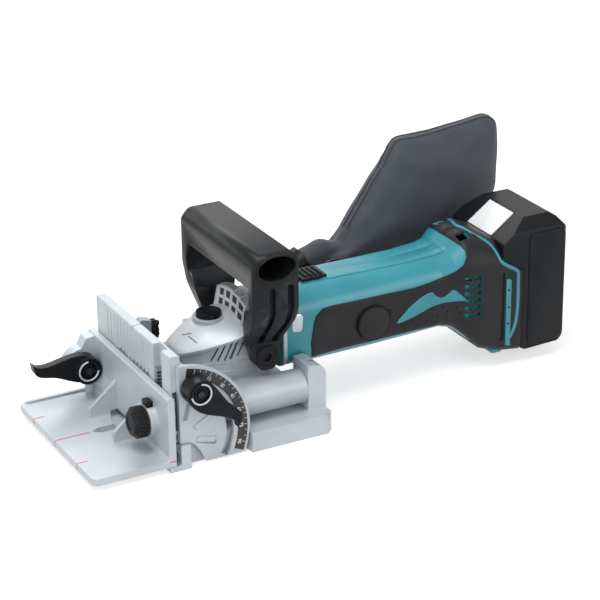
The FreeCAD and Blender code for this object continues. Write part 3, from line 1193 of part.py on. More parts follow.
# --------------------------------------------------------------------------- lofted shells
def ring_section(x, low, high, half, corner, crown):
    """A rounded rectangle across the tool at one station: its lower and upper corner radii differ."""
    k, c = (radius * (1 - math.sqrt(0.5)) for radius in (corner, crown))
    left, right = -half, half

    def at(y, z):
        return Vector(x, y, z)

    edges = [Part.LineSegment(at(left + corner, low), at(right - corner, low)).toShape(),
             Part.Arc(at(right - corner, low), at(right - k, low + k), at(right, low + corner)).toShape(),
             Part.LineSegment(at(right, low + corner), at(right, high - crown)).toShape(),
             Part.Arc(at(right, high - crown), at(right - c, high - c), at(right - crown, high)).toShape(),
             Part.LineSegment(at(right - crown, high), at(left + crown, high)).toShape(),
             Part.Arc(at(left + crown, high), at(left + c, high - c), at(left, high - crown)).toShape(),
             Part.LineSegment(at(left, high - crown), at(left, low + corner)).toShape(),
             Part.Arc(at(left, low + corner), at(left + k, low + k), at(left + corner, low)).toShape()]
    return Part.Wire(edges)


# The motor housing's stations from front to rear: place, lowest and highest level, half width, and the
# radii of the lower and upper corners.
BARREL = (("barrel_front", "39.2", "97", "barrel_half", "12", "20"),
          ("barrel_front + 30", "38.6", "97.6", "barrel_half", "12", "20"),
          ("barrel_front + 80", "38.8", "97.6", "barrel_half - 0.5", "12", "20"),
          ("barrel_front + 118", "39", "98", "barrel_half - 2", "12", "20"),
          ("barrel_front + 141", "40.2", "99.5", "barrel_half - 1", "13", "21"),
          ("barrel_front + 153", "37", "102", "barrel_half + 1.5", "15", "23"),
          ("barrel_front + 163", "29", "111.6", "barrel_half + 4.5", "12", "26"),
          ("barrel_front + 175", "18.6", "112.6", "36.8", "9", "27"),
          ("battery_front - 20", "13.2", "106", "36.8", "8", "22"),
          ("battery_front - 0.4", "11.4", "96", "36.8", "6", "12"))


def barrel_solid(inset, front, rear):
    """The motor housing's outer or inner body as a loft through its stations."""
    wires = []
    for x, low, high, half, corner, crown in BARREL:
        wires.append(ring_section(mm(x), mm(low) + inset, mm(high) - inset, mm(half) - inset,
                                  mm(corner) - inset, mm(crown) - inset))
    solid = Part.makeLoft(wires, True, True)
    keep = Part.makeBox(rear - front, 120, 140, Vector(front, -60, 0))
    return solid.common(keep)


BRUSH_SLOPE = math.radians(14)


def brush_cylinder(side, radius, inner, outer):
    """A cylinder along the brush line, from a radius inner to a radius outer of the motor's axis."""
    direction = Vector(0, side * math.cos(BRUSH_SLOPE), side * math.sin(BRUSH_SLOPE))
    start = Vector(mm("brush_place"), 0, mm("motor_level")) + direction * inner
    return Part.makeCylinder(radius, outer - inner, start, direction)


def battery_step(gap):
    """The space over the housing's shoulder where the battery's head stands, grown by a gap."""
    front, head = mm("battery_front") - 0.4, mm("battery_head") - gap
    points = [(front + 20, 80.5 - gap), (front, 80.5 - gap), (head, 92.0 - gap), (head, 200),
              (front + 20, 200)]
    corners = [Vector(x, -60, z) for x, z in points]
    return Part.Face(Part.makePolygon(corners + corners[:1])).extrude(Vector(0, 120, 0))


def make_motor_housing():
    """The two plastic halves of the motor housing, from the gear housing to the battery rail."""
    front, rear = mm("barrel_front"), mm("battery_front") - 0.4
    outer = barrel_solid(0.0, front, rear)
    inner = barrel_solid(mm("shell_wall"), front + 2.4, mm("battery_head") - 4.0)
    shell = outer.cut(inner).cut(battery_step(0.5))
    shell = shell.cut(Part.makeCylinder(mm("fan_radius") + 3.2, 6, Vector(front - 1, 0, mm("motor_level")),
                                        Vector(1, 0, 0)))
    seat = Part.makeCylinder(12, 10, Vector(mm("rear_bearing") - 2, 0, mm("motor_level")), Vector(1, 0, 0))
    plate = Part.makeBox(3, 54, 48, Vector(mm("rear_bearing") + 6.2, -27, 44.6))
    shelf = Part.makeBox(28, 90, 2.5, Vector(256, -45, mm("board_level") - 2.5))
    shelf = shelf.cut(Part.makeBox(30, 32, 4, Vector(255, -16, mm("board_level") - 3)))
    seat = seat.fuse(plate).fuse(shelf).common(inner)
    seat = seat.cut(Part.makeCylinder(8, 12, Vector(mm("rear_bearing") - 3, 0, mm("motor_level")),
                                      Vector(1, 0, 0)))
    shell = shell.fuse(seat)
    channel = Part.makeBox(5.8, 52, 100, Vector(mm("battery_front") - 10.4, -26, 20))
    throat = Part.makeBox(5.5, 40, 100, Vector(mm("battery_front") - 5.2, -20, 20))
    shell = shell.cut(channel).cut(throat)
    for side in (1, -1):
        shell = shell.cut(brush_cylinder(side, 10.4, mm("commutator_radius") + 8, 60))
    slot = Part.makeBox(mm("switch_rear - switch_front + switch_travel") + 1.0, 2 * mm("switch_half") - 5,
                        12,
                        Vector(mm("switch_front - switch_travel") - 0.5, -mm("switch_half") + 2.5, 92))
    shell = shell.cut(slot)
    for side in (1, -1):
        for row in range(6):
            for column in range(2):
                vent = Part.makeBox(6.4, 12, 3.6,
                                    Vector(267.6 + 8.2 * column, side * 36 - 6, 49 + 6.1 * row))
                shell = shell.cut(vent)
        groove = Part.makeBox(3.2, 4, 58, Vector(299.2, side * 37.6 - 2, 23.5))
        pit = Part.makeBox(8.4, 8.4, 12, Vector(-4.2, -4.2, -4.5))
        pit.rotate(Vector(0, 0, 0), Vector(1, 0, 0), -side * 38)
        pit.translate(Vector(275, side * 17.2, 110.2))
        shell = shell.cut(groove).cut(pit)
    for side, name in ((1, "motor_housing_far"), (-1, "motor_housing_near")):
        keep = Part.makeBox(300, 60, 160, Vector(90, 0 if side > 0 else -60, 0))
        half = shell.common(keep).removeSplitter()
        node(fixed(name.title().replace("_", ""), half), name)


def make_brushes():
    """Carbon brushes on the commutator, their holders and the round caps in the housing."""
    brushes, holders, caps = [], [], []
    for side in (1, -1):
        reach = mm("commutator_radius")
        brush = brush_cylinder(side, 2.6, reach - 0.8, reach + 9)
        clearance = Part.makeCylinder(reach + 0.1, 40, Vector(mm("brush_place") - 20, 0, mm("motor_level")),
                                      Vector(1, 0, 0))
        brushes.append(fixed(f"Brush{side + 1}", brush.cut(clearance)))
        holder = brush_cylinder(side, 4.6, reach + 1.4, 27.6)
        holder = holder.cut(brush_cylinder(side, 2.7, reach, 25.4))
        holders.append(fixed(f"Holder{side + 1}", holder))
        front = mm("barrel_half") + 2.3
        spot = Vector(mm("brush_place"), side * front,
                      mm("motor_level") + side * mm("barrel_half") * math.tan(BRUSH_SLOPE))
        room = Part.makeBox(40, 2 * front, 60, Vector(spot.x - 20, -front, spot.z - 30))
        stem = brush_cylinder(side, 10.0, 27.8, front + 6).common(room)
        rim = Part.makeCylinder(mm("cap_radius"), 1.9, spot, Vector(0, -side, 0))
        slot = Part.makeBox(16, 2, 2.6, spot - Vector(8, 1, 1.3))
        caps.append(fixed(f"Cap{side + 1}", stem.fuse(rim).cut(slot).removeSplitter()))
    node(group("CarbonBrushes", *brushes), "carbon_brushes")
    node(group("BrushHolders", *holders), "brush_holders")
    node(group("BrushCaps", *caps), "brush_caps")


def make_electrics():
    """The switch, its long link to the sliding knob, the speed board and the battery's terminals."""
    node(box("SwitchBody", ("rear_bearing + 9.2", "rear_bearing + 36"), ("-12", "12"),
             ("66", "link_level - seat_gap")), "switch_body")
    link = box("SwitchLink", ("150", "217.4"), ("-3", "3"), ("link_level", "link_level + 1"))
    knob_base = box("SliderBase", ("switch_front + 2", "switch_rear - 2"),
                    ("3 - switch_half", "switch_half - 3"),
                    ("link_level", "98"))
    node(union("SwitchLinkSolid", link, knob_base), "switch_link")
    top = box("SliderPad", ("switch_front", "switch_rear"), ("-switch_half", "switch_half"),
              ("98", "100.4"))
    ridges = []
    for index in range(4):
        low = f"switch_front + 4 + {index} * 4.2"
        ridges.append(box(f"SliderRidge{index}", (low, f"{low} + 1.6"),
                          ("2 - switch_half", "switch_half - 2"),
                          ("100", "101.8")))
    node(union("SlideSwitch", top, *ridges), "slide_switch")
    node(box("SpeedBoard", ("252", "288"), ("-18", "18"), ("board_level", "board_level + 3")),
         "speed_board")
    block = box("TerminalBase", ("battery_front - 10", "battery_front - 5.6"), ("-18", "18"),
                ("20.2", "23"))
    blades = [block]
    for index, sign in enumerate(("-1", "1")):
        low, high = sorted_pair(sign, "8", "9.2")
        blades.append(box(f"TerminalBlade{index}", ("battery_front - 9", "battery_front - 6"), (low, high),
                          ("22.5", "34")))
    node(union("TerminalBlock", *blades), "terminal_block")


# --------------------------------------------------------------------------- D-handle
def make_handle():
    """The D-handle: two legs bolted to the gear housing's sides and a hollow bar across the top."""
    side = new_body("HandleSide")
    padded(side, "HandleProfile", "xz", ("-handle_half", "handle_half"),
           [("pivot_place - 10.2", "pivot_level - 3"), ("pivot_place - 5", "pivot_level - 9.8"),
            ("pivot_place + 5", "pivot_level - 9.8"), ("pivot_place + 10.2", "pivot_level - 3"),
            ("pivot_place + 10.6", "pivot_level + 11"), ("handle_back - 3.6", "pivot_level + 25"),
            ("handle_back", "pivot_level + 38"), ("handle_back", "handle_top - 7"), ("handle_back - 6",
                                                                                     "handle_top"),
            ("handle_front + 7", "handle_top"), ("handle_front", "handle_top - 9"), ("handle_front",
                                                                                     "pivot_level + 48"),
            ("handle_front + 1.4", "pivot_level + 28"), ("pivot_place - 15", "pivot_level + 12"),
            ("pivot_place - 11.6", "pivot_level + 4")])
    rounded(side, "HandleRound", "5", lambda e: along_y(e))
    gap = prism("HandleGap", "yz", ("0", "200"), leg_line("handle_inner", "leg_inner", "handle_under",
                                                          "-1"))
    outer = prism("HandleFront", "yz", ("0", "200"),
                  leg_line("handle_half", "leg_outer", "handle_top + 0.5", "0"))
    rounded(outer, "HandleFrontRound", "6", lambda e: along_x(e) and e.CenterOfMass.z > mm("handle_top"))
    solid = common("HandleWhole", side, outer)
    hollow = bar_hollow()
    tools = [gap, hollow]
    for name, sign in (("Far", "1"), ("Near", "-1")):
        for edge, shift in (("handle_back", "-6"), ("handle_front", "6")):
            tools.append(leg_bevel(name + edge.title().replace("_", ""), sign, edge, shift))
    for index, low in enumerate(("83.4", "98.6")):
        for name, sign in (("Far", "1"), ("Near", "-1")):
            y_low, y_high = sorted_pair(sign, "handle_half - 4", "handle_half + 1")
            tools.append(box(f"LegGroove{name}{index}", (low, f"{low} + 4.6"), (y_low, y_high),
                             ("pivot_level + 44", "handle_under - 1")))
    for name, sign in (("Far", "1"), ("Near", "-1")):
        y_low, y_high = sorted_pair(sign, "leg_inner - 1", "leg_outer + 1")
        tools.append(rod("HandleBoltHole" + name, "y", ("pivot_place", "pivot_level"), "4",
                         (y_low, y_high)))
        y_low, y_high = sorted_pair(sign, "leg_outer - 4", "leg_outer + 1")
        tools.append(rod("HandleBoltSeat" + name, "y", ("pivot_place", "pivot_level"), "7.6",
                         (y_low, y_high)))
    node(cut("SideHandle", solid, *tools), "side_handle")
    bolts, bosses = [], []
    for name, sign in (("Far", "1"), ("Near", "-1")):
        y_low, y_high = sorted_pair(sign, "leg_outer - 4", "leg_outer - 0.6")
        head = rod("HandleBoltHead" + name, "y", ("pivot_place", "pivot_level"), "7.4", (y_low, y_high))
        y_low, y_high = sorted_pair(sign, "boss_root", "leg_outer - 3.5")
        stem = rod("HandleBoltStem" + name, "y", ("pivot_place", "pivot_level"), "4", (y_low, y_high))
        y_low, y_high = sorted_pair(sign, "leg_outer - 2.8", "leg_outer")
        socket = rod("HandleBoltSocket" + name, "y", ("pivot_place", "pivot_level"), "3.4", (y_low, y_high))
        bolts.append(cut("HandleBolt" + name, union("HandleBoltSolid" + name, head, stem), socket))
        y_low, y_high = sorted_pair(sign, "boss_root", "leg_inner")
        bosses.append(tube("HandleBoss" + name, "y", ("pivot_place", "pivot_level"), "boss_outer", "4",
                           (y_low, y_high)))
    node(group("HandleBolts", *bolts), "handle_bolts")
    node(group("HandleBosses", *bosses), "handle_bosses")


def leg_line(top_half, foot_half, top, drop):
    """The front outline of the handle's outside or inside: straight above, drawn in towards the foot."""
    side = [(foot_half, f"40 + {drop}"), (foot_half, "pivot_level + 12"),
            (f"{foot_half} + 3", "pivot_level + 17"),
            (f"{top_half} - 3.4", "pivot_level + 32"), (top_half, "pivot_level + 44"), (top_half, top)]
    return side + [(f"-({y})", z) for y, z in reversed(side)]


def leg_bevel(name, sign, edge, shift):
    """A wedge that slims a leg's inner corner along its height."""
    inner = f"{sign} * (handle_inner - 0.4)"
    deep = f"{sign} * (handle_inner + 8)"
    return prism("Bevel" + name, "xy", ("pivot_level + 40", "handle_under - 0.2"),
                 [(f"{edge} - ({shift}) * 0.02", deep), (f"{edge} - ({shift}) * 0.02", inner),
                  (f"{edge} + ({shift})", inner)])


def bar_hollow():
    """The oval hollow that runs through the top bar, open at both ends."""
    middle_x, middle_z = mm("(handle_front + handle_back) / 2"), mm("(handle_top + handle_under) / 2") + 0.6
    ellipse = Part.Ellipse(Vector(0, 0, 0), 15.4, 9.2).toShape()
    face = Part.Face(Part.Wire(ellipse))
    solid = face.extrude(Vector(0, 0, 2 * mm("handle_half") + 4))
    solid.rotate(Vector(0, 0, 0), Vector(1, 0, 0), 90)
    solid.translate(Vector(middle_x + 1.6, mm("handle_half") + 2, middle_z))
    return fixed("BarHollow", solid)


def along_y(edge):
    """True for a straight edge across the tool."""
    span = edge.BoundBox
    return span.XLength < 0.01 and span.ZLength < 0.01 and span.YLength > 1


def along_x(edge):
    """True for a straight edge along the tool."""
    span = edge.BoundBox
    return span.YLength < 0.01 and span.ZLength < 0.01 and span.XLength > 1


# --------------------------------------------------------------------------- battery
def make_battery():
    """The slide-on battery: case, rail tongue and the release button."""
    case = new_body("BatteryCase")
    padded(case, "BatteryPad", "xz", ("-battery_half", "battery_half"),
           [("battery_front", "battery_foot + 2"), ("battery_front + 4", "battery_foot"),
            ("battery_rear - 7", "battery_foot + 1"), ("battery_rear", "battery_foot + 7"),
            ("battery_rear", "battery_top - 14"), ("battery_rear - 9", "battery_top - 3"),
            ("battery_rear - 14", "battery_top"), ("battery_head + 23", "battery_top"),
            ("battery_head", "105"), ("battery_head", "92"), ("battery_front", "80.5")])
    rounded(case, "BatteryRound", "5", lambda e: upright(e) and e.CenterOfMass.x > mm("battery_rear") - 1)
    tongue = box("TongueWide", ("battery_front - 10", "battery_front - 5"), ("-25.6", "25.6"), ("35", "84"))
    neck = box("TongueNeck", ("battery_front - 5.1", "battery_front + 1"), ("-19.6", "19.6"), ("35", "81"))
    end = prism("BatteryEnd", "yz", ("200", "400"),
                [("-battery_half", "0"), ("battery_half", "0"), ("battery_half", "battery_top - 10"),
                 ("battery_half - 8", "battery_top + 0.1"), ("8 - battery_half", "battery_top + 0.1"),
                 ("-battery_half", "battery_top - 10")])
    shaped = common("BatteryShaped", case, end)
    tools = []
    for index, sign in enumerate(("-1", "1")):
        low, high = sorted_pair(sign, "7", "10.2")
        tools.append(box(f"TerminalSlot{index}", ("battery_front - 9.6", "battery_front - 5.4"),
                         (low, high), ("34", "52")))
    well = button_block("ButtonWell", 17.4, 6.0, 26.4)
    node(cut("BatteryCut", union("BatterySolid", shaped, tongue, neck), well, *tools), "battery_case")
    button = button_block("ButtonBlock", 17.0, 2.6, 25.6)
    node(button, "battery_button")


def button_block(name, half, depth, length):
    """A block that lies in the battery's sloping face: half width, depth under the face and length."""
    slope = math.degrees(math.atan2(mm("battery_top") - 105.0, 23.0))
    block = Part.makeBox(length, 2 * half, depth + (0.6 if name == "ButtonBlock" else 4.0),
                         Vector(-length / 2, -half, -depth))
    block.rotate(Vector(0, 0, 0), Vector(0, 1, 0), -slope)
    block.translate(Vector(mm("battery_head") + 11.5, 0, (mm("battery_top") + 105.0) / 2))
    return fixed(name, block)


# --------------------------------------------------------------------------- dust bag
BAG_OUTLINE = ((190, 62), (188, 77), (221, 108), (249, 141), (269, 167), (286, 167), (309, 166),
               (350, 171.6),
               (359, 165), (363, 141), (361, 114), (345, 88), (300, 70), (240, 62))


def make_bag():
    """The dust bag as a plain closed cushion, and the ring that pushes onto the nozzle."""
    half = mm("bag_thick") / 2
    side = mm("bag_axis_side")
    slices = []
    centre = Vector(275, 0, 112)
    for offset, size in ((-half, 0.76), (-half * 0.62, 0.91), (0.0, 0.97), (half * 0.62, 0.91),
                         (half, 0.76)):
        corners = []
        for x, z in BAG_OUTLINE:
            point = Vector(x, 0, z)
            moved = centre + (point - centre) * size
            corners.append(Vector(moved.x, side + offset, moved.z))
        slices.append(Part.makePolygon(corners + corners[:1]))
    bag = Part.makeLoft(slices, True, True)
    slope = math.radians(mm("nozzle_slope"))
    direction = Vector(math.cos(slope), 0, math.sin(slope))
    start = Vector(mm("nozzle_start"), side, mm("nozzle_base")) + direction * (mm("nozzle_length") + 4.1)
    bag = bag.fuse(Part.makeCylinder(mm("nozzle_radius") + 1.4, 26, start, direction)).removeSplitter()
    node(fixed("DustBag", bag), "dust_bag")


def make_bag_ring():
    """The bag's ring, a sliding fit over the end of the nozzle."""
    slope = math.radians(mm("nozzle_slope"))
    direction = Vector(math.cos(slope), 0, math.sin(slope))
    start = Vector(mm("nozzle_start"), mm("bag_axis_side"), mm("nozzle_base"))
    low, high = mm("nozzle_length") - 14, mm("nozzle_length") + 4
    ring = Part.makeCylinder(mm("nozzle_radius") + 3.4, high - low, start + direction * low, direction)
    bore = Part.makeCylinder(mm("nozzle_radius") + mm("running_gap"), high - low + 1,
                             start + direction * (low - 1), direction)
    lip = Part.makeCylinder(mm("nozzle_radius") - 1, 6, start + direction * (high - 3), direction)
    node(fixed("BagRing", ring.cut(bore).cut(lip)), "bag_ring")


# --------------------------------------------------------------------------- build, check and write
def main():
    """Make every sub-part, check each one and write its STEP file."""
    for make in (make_base_plate, make_base_casting, make_rods, make_springs, make_hinge_pins,
                 make_clamp_bolt,
                 make_base_trim, make_nozzle, make_stop_post, make_guide, make_quadrant, make_rack, make_knob,
                 make_fence, make_fence_bolt, make_levers, make_blade, make_spindle, make_gear_housing,
                 make_bearing_box, make_slide_tubes, make_turret, make_shaft_lock, make_armature, make_field,
                 make_motor_housing, make_brushes, make_electrics, make_handle, make_battery, make_bag,
                 make_bag_ring):
        make()
        doc.recompute()
    doc.recompute()
    for thing in doc.Objects:
        if "Invalid" in thing.State or "Error" in thing.State:
            raise RuntimeError(f"{thing.Name} failed: {thing.State}")
    for part in NODES:
        shape = part.Shape
        if shape.isNull() or not shape.isValid() or not shape.Solids:
            raise RuntimeError(f"{part.Label} has no valid solid")
        shape.exportStep(f"parts/{part.Label}.step")
        print(f"{part.Label}: {len(shape.Solids)} solid(s), {shape.Volume / 1000:.1f} cm3")


main()
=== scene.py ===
"""Looks of a cordless biscuit joiner: finishes, trim, cloth bag, studio and camera.

The CAD model is the fixed frame. Every new piece is built in metres in the same frame, with the fence
towards -X, the battery towards +X, the bag at +Y and the sole on z = 0.
"""

import logging
import math
from dataclasses import dataclass
from enum import Enum
from typing import Callable, Iterable, Sequence

import bmesh
import bpy
from mathutils import Matrix, Vector
from mathutils.bvhtree import BVHTree


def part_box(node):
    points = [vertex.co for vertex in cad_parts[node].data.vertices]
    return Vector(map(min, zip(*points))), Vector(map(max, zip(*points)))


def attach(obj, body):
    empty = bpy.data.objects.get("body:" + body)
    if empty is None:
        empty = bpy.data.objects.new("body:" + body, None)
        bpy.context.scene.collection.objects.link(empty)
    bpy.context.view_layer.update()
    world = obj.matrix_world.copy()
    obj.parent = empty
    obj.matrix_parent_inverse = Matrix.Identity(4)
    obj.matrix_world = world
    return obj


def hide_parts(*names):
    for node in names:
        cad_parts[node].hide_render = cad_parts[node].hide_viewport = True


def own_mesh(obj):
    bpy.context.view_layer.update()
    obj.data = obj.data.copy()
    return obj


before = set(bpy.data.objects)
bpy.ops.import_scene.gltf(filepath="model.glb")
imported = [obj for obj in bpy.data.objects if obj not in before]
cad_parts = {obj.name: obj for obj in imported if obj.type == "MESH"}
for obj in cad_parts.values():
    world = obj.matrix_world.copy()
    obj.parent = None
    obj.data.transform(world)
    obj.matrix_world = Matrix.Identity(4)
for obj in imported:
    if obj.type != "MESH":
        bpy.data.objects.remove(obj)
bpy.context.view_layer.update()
log = logging.getLogger("joiner")

MM = 0.001
Point = tuple[float, float]
Colour = tuple[float, float, float]
Place = tuple[float, float, float]
SIDES = (("near", -1), ("far", 1))


# ------------------------------------------------------------------------------------ finishes
class Pattern(Enum):
    """The fine relief of a finish."""

    GRAIN = "fine cast or moulded grain"
    BRUSHED = "fine lines along X"
    PEBBLE = "small soft bumps"
    WEAVE = "two crossing sets of threads"
    SMOOTH = "polished, with faint waves"


def combined(tree: bpy.types.NodeTree, operation: str, first: bpy.types.NodeSocket,
             second: bpy.types.NodeSocket) -> bpy.types.NodeSocket:
    """Combine two values by a maths node.

    Args:
        tree: The nodes to add to.
        operation: The node's operation.
        first: Its first value.
        second: Its second value.

    Returns:
        The result.
    """
    node = tree.nodes.new("ShaderNodeMath")
    node.operation = operation
    tree.links.new(first, node.inputs[0])
    tree.links.new(second, node.inputs[1])
    return node.outputs[0]


@dataclass(frozen=True)
class Finish:
    """A procedural surface: colour with slow variation, fine relief, roughness and a painted highlight on sharp edges.
    """

    name: str
    colour: Colour
    tint: Colour
    metallic: float = 0.0
    rough_low: float = 0.4
    rough_high: float = 0.55
    pattern: Pattern = Pattern.GRAIN
    pitch: float = 0.9
    depth: float = 0.02
    strength: float = 0.25
    drift: float = 25.0
    # Colour of the painted highlight on sharp edges; None leaves the edges plain.
    edge_colour: Colour | None = None
    edge_radius: float = 0.5
    coat: float = 0.0
    sheen: float = 0.0
    specular: float = 0.5

    def material(self) -> bpy.types.Material:
        """Return the material of this finish, made once.

        Returns:
            The node-based material.
        """
        found = bpy.data.materials.get(self.name)
        return found or self._make()

    def _make(self) -> bpy.types.Material:
        """Build the node tree.

        Returns:
            The new material.
        """
        made = bpy.data.materials.new(self.name)
        made.use_nodes = True
        tree = made.node_tree
        shader = tree.nodes["Principled BSDF"]
        shader.inputs["Metallic"].default_value = self.metallic
        shader.inputs["Coat Weight"].default_value = self.coat
        shader.inputs["Coat Roughness"].default_value = 0.25
        shader.inputs["Sheen Weight"].default_value = self.sheen
        shader.inputs["Sheen Roughness"].default_value = 0.45
        shader.inputs["Specular IOR Level"].default_value = self.specular
        place = tree.nodes.new("ShaderNodeTexCoord").outputs["Object"]
        slow = self._noise(tree, place, 1.0 / (self.drift * MM), 3.0)
        speckle = self._noise(tree, place, 1.0 / (self.pitch * 2.4 * MM), 2.0)
        colour = self._mix(tree, slow, self.colour, self.tint)
        rounded = tree.nodes.new("ShaderNodeBevel")
        rounded.samples = 4
        rounded.inputs["Radius"].default_value = self.edge_radius * MM
        # Painted highlight: sharp edges are lightened towards the edge highlight colour.
        if self.edge_colour is not None:
            colour = self._worn(tree, colour, rounded.outputs["Normal"], slow)
        tree.links.new(colour, shader.inputs["Base Color"])
        patchy = combined(tree, "MULTIPLY", slow, speckle)
        rough = self._range(tree, patchy, 0.1, 0.5, self.rough_low, self.rough_high)
        tree.links.new(rough, shader.inputs["Roughness"])
        bump = tree.nodes.new("ShaderNodeBump")
        bump.inputs["Strength"].default_value = self.strength
        bump.inputs["Distance"].default_value = self.depth * MM
        tree.links.new(self._relief(tree, place), bump.inputs["Height"])
        tree.links.new(rounded.outputs["Normal"], bump.inputs["Normal"])
        tree.links.new(bump.outputs["Normal"], shader.inputs["Normal"])
        return made

    @staticmethod
    def _noise(tree: bpy.types.NodeTree, place: bpy.types.NodeSocket, scale: float,
               detail: float) -> bpy.types.NodeSocket:
        """Add a noise texture.

        Args:
            tree: The material's nodes.
            place: The coordinates it reads.
            scale: Features for each metre.
            detail: Octaves.

        Returns:
            The noise's factor.
        """
        node = tree.nodes.new("ShaderNodeTexNoise")
        node.inputs["Scale"].default_value = scale
        node.inputs["Detail"].default_value = detail
        tree.links.new(place, node.inputs["Vector"])
        return node.outputs["Fac"]

    @staticmethod
    def _mix(tree: bpy.types.NodeTree, factor: bpy.types.NodeSocket, first: Colour,
             second: Colour) -> bpy.types.NodeSocket:
        """Blend two colours by a factor that is stretched to its middle range.

        Args:
            tree: The material's nodes.
            factor: What drives the blend.
            first: Colour where the factor is low.
            second: Colour where it is high.

        Returns:
            The colour socket.
        """
        ramp = tree.nodes.new("ShaderNodeValToRGB")
        ramp.color_ramp.elements[0].position = 0.34
        ramp.color_ramp.elements[0].color = (*first, 1.0)
        ramp.color_ramp.elements[1].position = 0.68
        ramp.color_ramp.elements[1].color = (*second, 1.0)
        tree.links.new(factor, ramp.inputs["Fac"])
        return ramp.outputs["Color"]

    @staticmethod
    def _range(tree: bpy.types.NodeTree, value: bpy.types.NodeSocket, low: float, high: float,
               to_low: float, to_high: float) -> bpy.types.NodeSocket:
        """Map a value from one range to another, clamped.

        Args:
            tree: The material's nodes.
            value: The socket to map.
            low: Start of the read range.
            high: End of the read range.
            to_low: Result at the start.
            to_high: Result at the end.

        Returns:
            The mapped value.
        """
        node = tree.nodes.new("ShaderNodeMapRange")
        for name, number in (("From Min", low), ("From Max", high), ("To Min", to_low), ("To Max", to_high)):
            node.inputs[name].default_value = number
        tree.links.new(value, node.inputs["Value"])
        return node.outputs["Result"]

    def _worn(self, tree: bpy.types.NodeTree, colour: bpy.types.NodeSocket,
              soft: bpy.types.NodeSocket, slow: bpy.types.NodeSocket) -> bpy.types.NodeSocket:
        """Paint a highlight on sharp edges, lightening them where the softened normal departs from the true one.

        Args:
            tree: The material's nodes.
            colour: The colour of the faces.
            soft: The softened normal.
            slow: Noise that makes the painted highlight uneven.

        Returns:
            The colour with painted highlights on its edges.
        """
        true = tree.nodes.new("ShaderNodeNewGeometry").outputs["True Normal"]
        dot = tree.nodes.new("ShaderNodeVectorMath")
        dot.operation = "DOT_PRODUCT"
        tree.links.new(soft, dot.inputs[0])
        tree.links.new(true, dot.inputs[1])
        edge = self._range(tree, dot.outputs["Value"], 0.97, 0.80, 0.0, 0.7)
        uneven = combined(tree, "MULTIPLY", edge, slow)
        blend = tree.nodes.new("ShaderNodeMix")
        blend.data_type = "RGBA"
        blend.inputs["B"].default_value = (*self.edge_colour, 1.0)
        tree.links.new(uneven, blend.inputs["Factor"])
        tree.links.new(colour, blend.inputs["A"])
        return blend.outputs["Result"]

    def _relief(self, tree: bpy.types.NodeTree, place: bpy.types.NodeSocket) -> bpy.types.NodeSocket:
        """Add the fine relief that the bump reads.

        Args:
            tree: The material's nodes.
            place: Object coordinates.

        Returns:
            The height.
        """
        scale = 1.0 / (self.pitch * MM)
        if self.pattern is Pattern.WEAVE:
            return self._weave(tree, place, scale)
        if self.pattern is Pattern.PEBBLE:
            cells = tree.nodes.new("ShaderNodeTexVoronoi")
            cells.feature = "SMOOTH_F1"
            cells.inputs["Scale"].default_value = scale
            tree.links.new(place, cells.inputs["Vector"])
            return cells.outputs["Distance"]
        stretch = {Pattern.BRUSHED: (0.06, 1.0, 1.0), Pattern.SMOOTH: (0.12, 0.12, 0.12)}
        mapping = tree.nodes.new("ShaderNodeMapping")
        mapping.inputs["Scale"].default_value = stretch.get(self.pattern, (1.0, 1.0, 1.0))
        tree.links.new(place, mapping.inputs["Vector"])
        return self._noise(tree, mapping.outputs["Vector"], scale, 4.0)

    @staticmethod
    def _weave(tree: bpy.types.NodeTree, place: bpy.types.NodeSocket, scale: float) -> bpy.types.NodeSocket:
        """Cross two sets of threads that lie in the XZ plane.

        Args:
            tree: The material's nodes.
            place: Object coordinates.
            scale: Threads for each metre.

        Returns:
            The height of the cloth.
        """
        heights = []
        for direction in ("X", "Z"):
            wave = tree.nodes.new("ShaderNodeTexWave")
            wave.bands_direction = direction
            wave.inputs["Scale"].default_value = scale * 0.314
            wave.inputs["Distortion"].default_value = 0.4
            tree.links.new(place, wave.inputs["Vector"])
            heights.append(wave.outputs["Fac"])
        return combined(tree, "MULTIPLY", *heights)


CAST = Finish("cast_silver", (0.41, 0.44, 0.47), (0.49, 0.52, 0.55), metallic=0.35, rough_low=0.42,
              rough_high=0.54, pitch=0.7, depth=0.03, strength=0.35, drift=30, edge_colour=(0.66, 0.69, 0.72),
              edge_radius=0.7)
PLATE = Finish("satin_silver", (0.47, 0.52, 0.56), (0.55, 0.60, 0.64), metallic=0.30, rough_low=0.42,
               rough_high=0.54, pitch=0.5, depth=0.02, strength=0.22, drift=40,
               edge_colour=(0.72, 0.75, 0.78), edge_radius=0.6)
# A darker copy of the silver, used as painted shade on the floors of the quadrant's recesses.
SHADE = Finish("shaded_silver", (0.22, 0.25, 0.27), (0.28, 0.31, 0.33), metallic=0.30, rough_low=0.46,
               rough_high=0.58, pitch=0.5, depth=0.02, strength=0.22, drift=40, edge_radius=0.8)
STEEL = Finish("ground_steel", (0.42, 0.43, 0.45), (0.52, 0.53, 0.55), metallic=1.0, rough_low=0.18,
               rough_high=0.32, pattern=Pattern.BRUSHED, pitch=0.5, depth=0.01,
               edge_colour=(0.7, 0.71, 0.73), edge_radius=0.3)
SPRING = Finish("spring_steel", (0.22, 0.23, 0.25), (0.30, 0.31, 0.33), metallic=1.0, rough_low=0.3,
                rough_high=0.42, pattern=Pattern.BRUSHED, pitch=0.6, edge_radius=0.2)
BLACK = Finish("black_moulded", (0.0060, 0.0068, 0.0078), (0.0105, 0.0120, 0.0135), rough_low=0.26,
               rough_high=0.38, pitch=0.6, depth=0.03, strength=0.25, drift=20,
               edge_colour=(0.030, 0.034, 0.040), edge_radius=0.9, specular=0.14)
HANDLE = Finish("handle_moulded", (0.0068, 0.0078, 0.0090), (0.0120, 0.0138, 0.0155), rough_low=0.27,
                rough_high=0.38, pitch=0.6, depth=0.02, strength=0.2, drift=30,
                edge_colour=(0.045, 0.052, 0.060), edge_radius=2.2, specular=0.17)
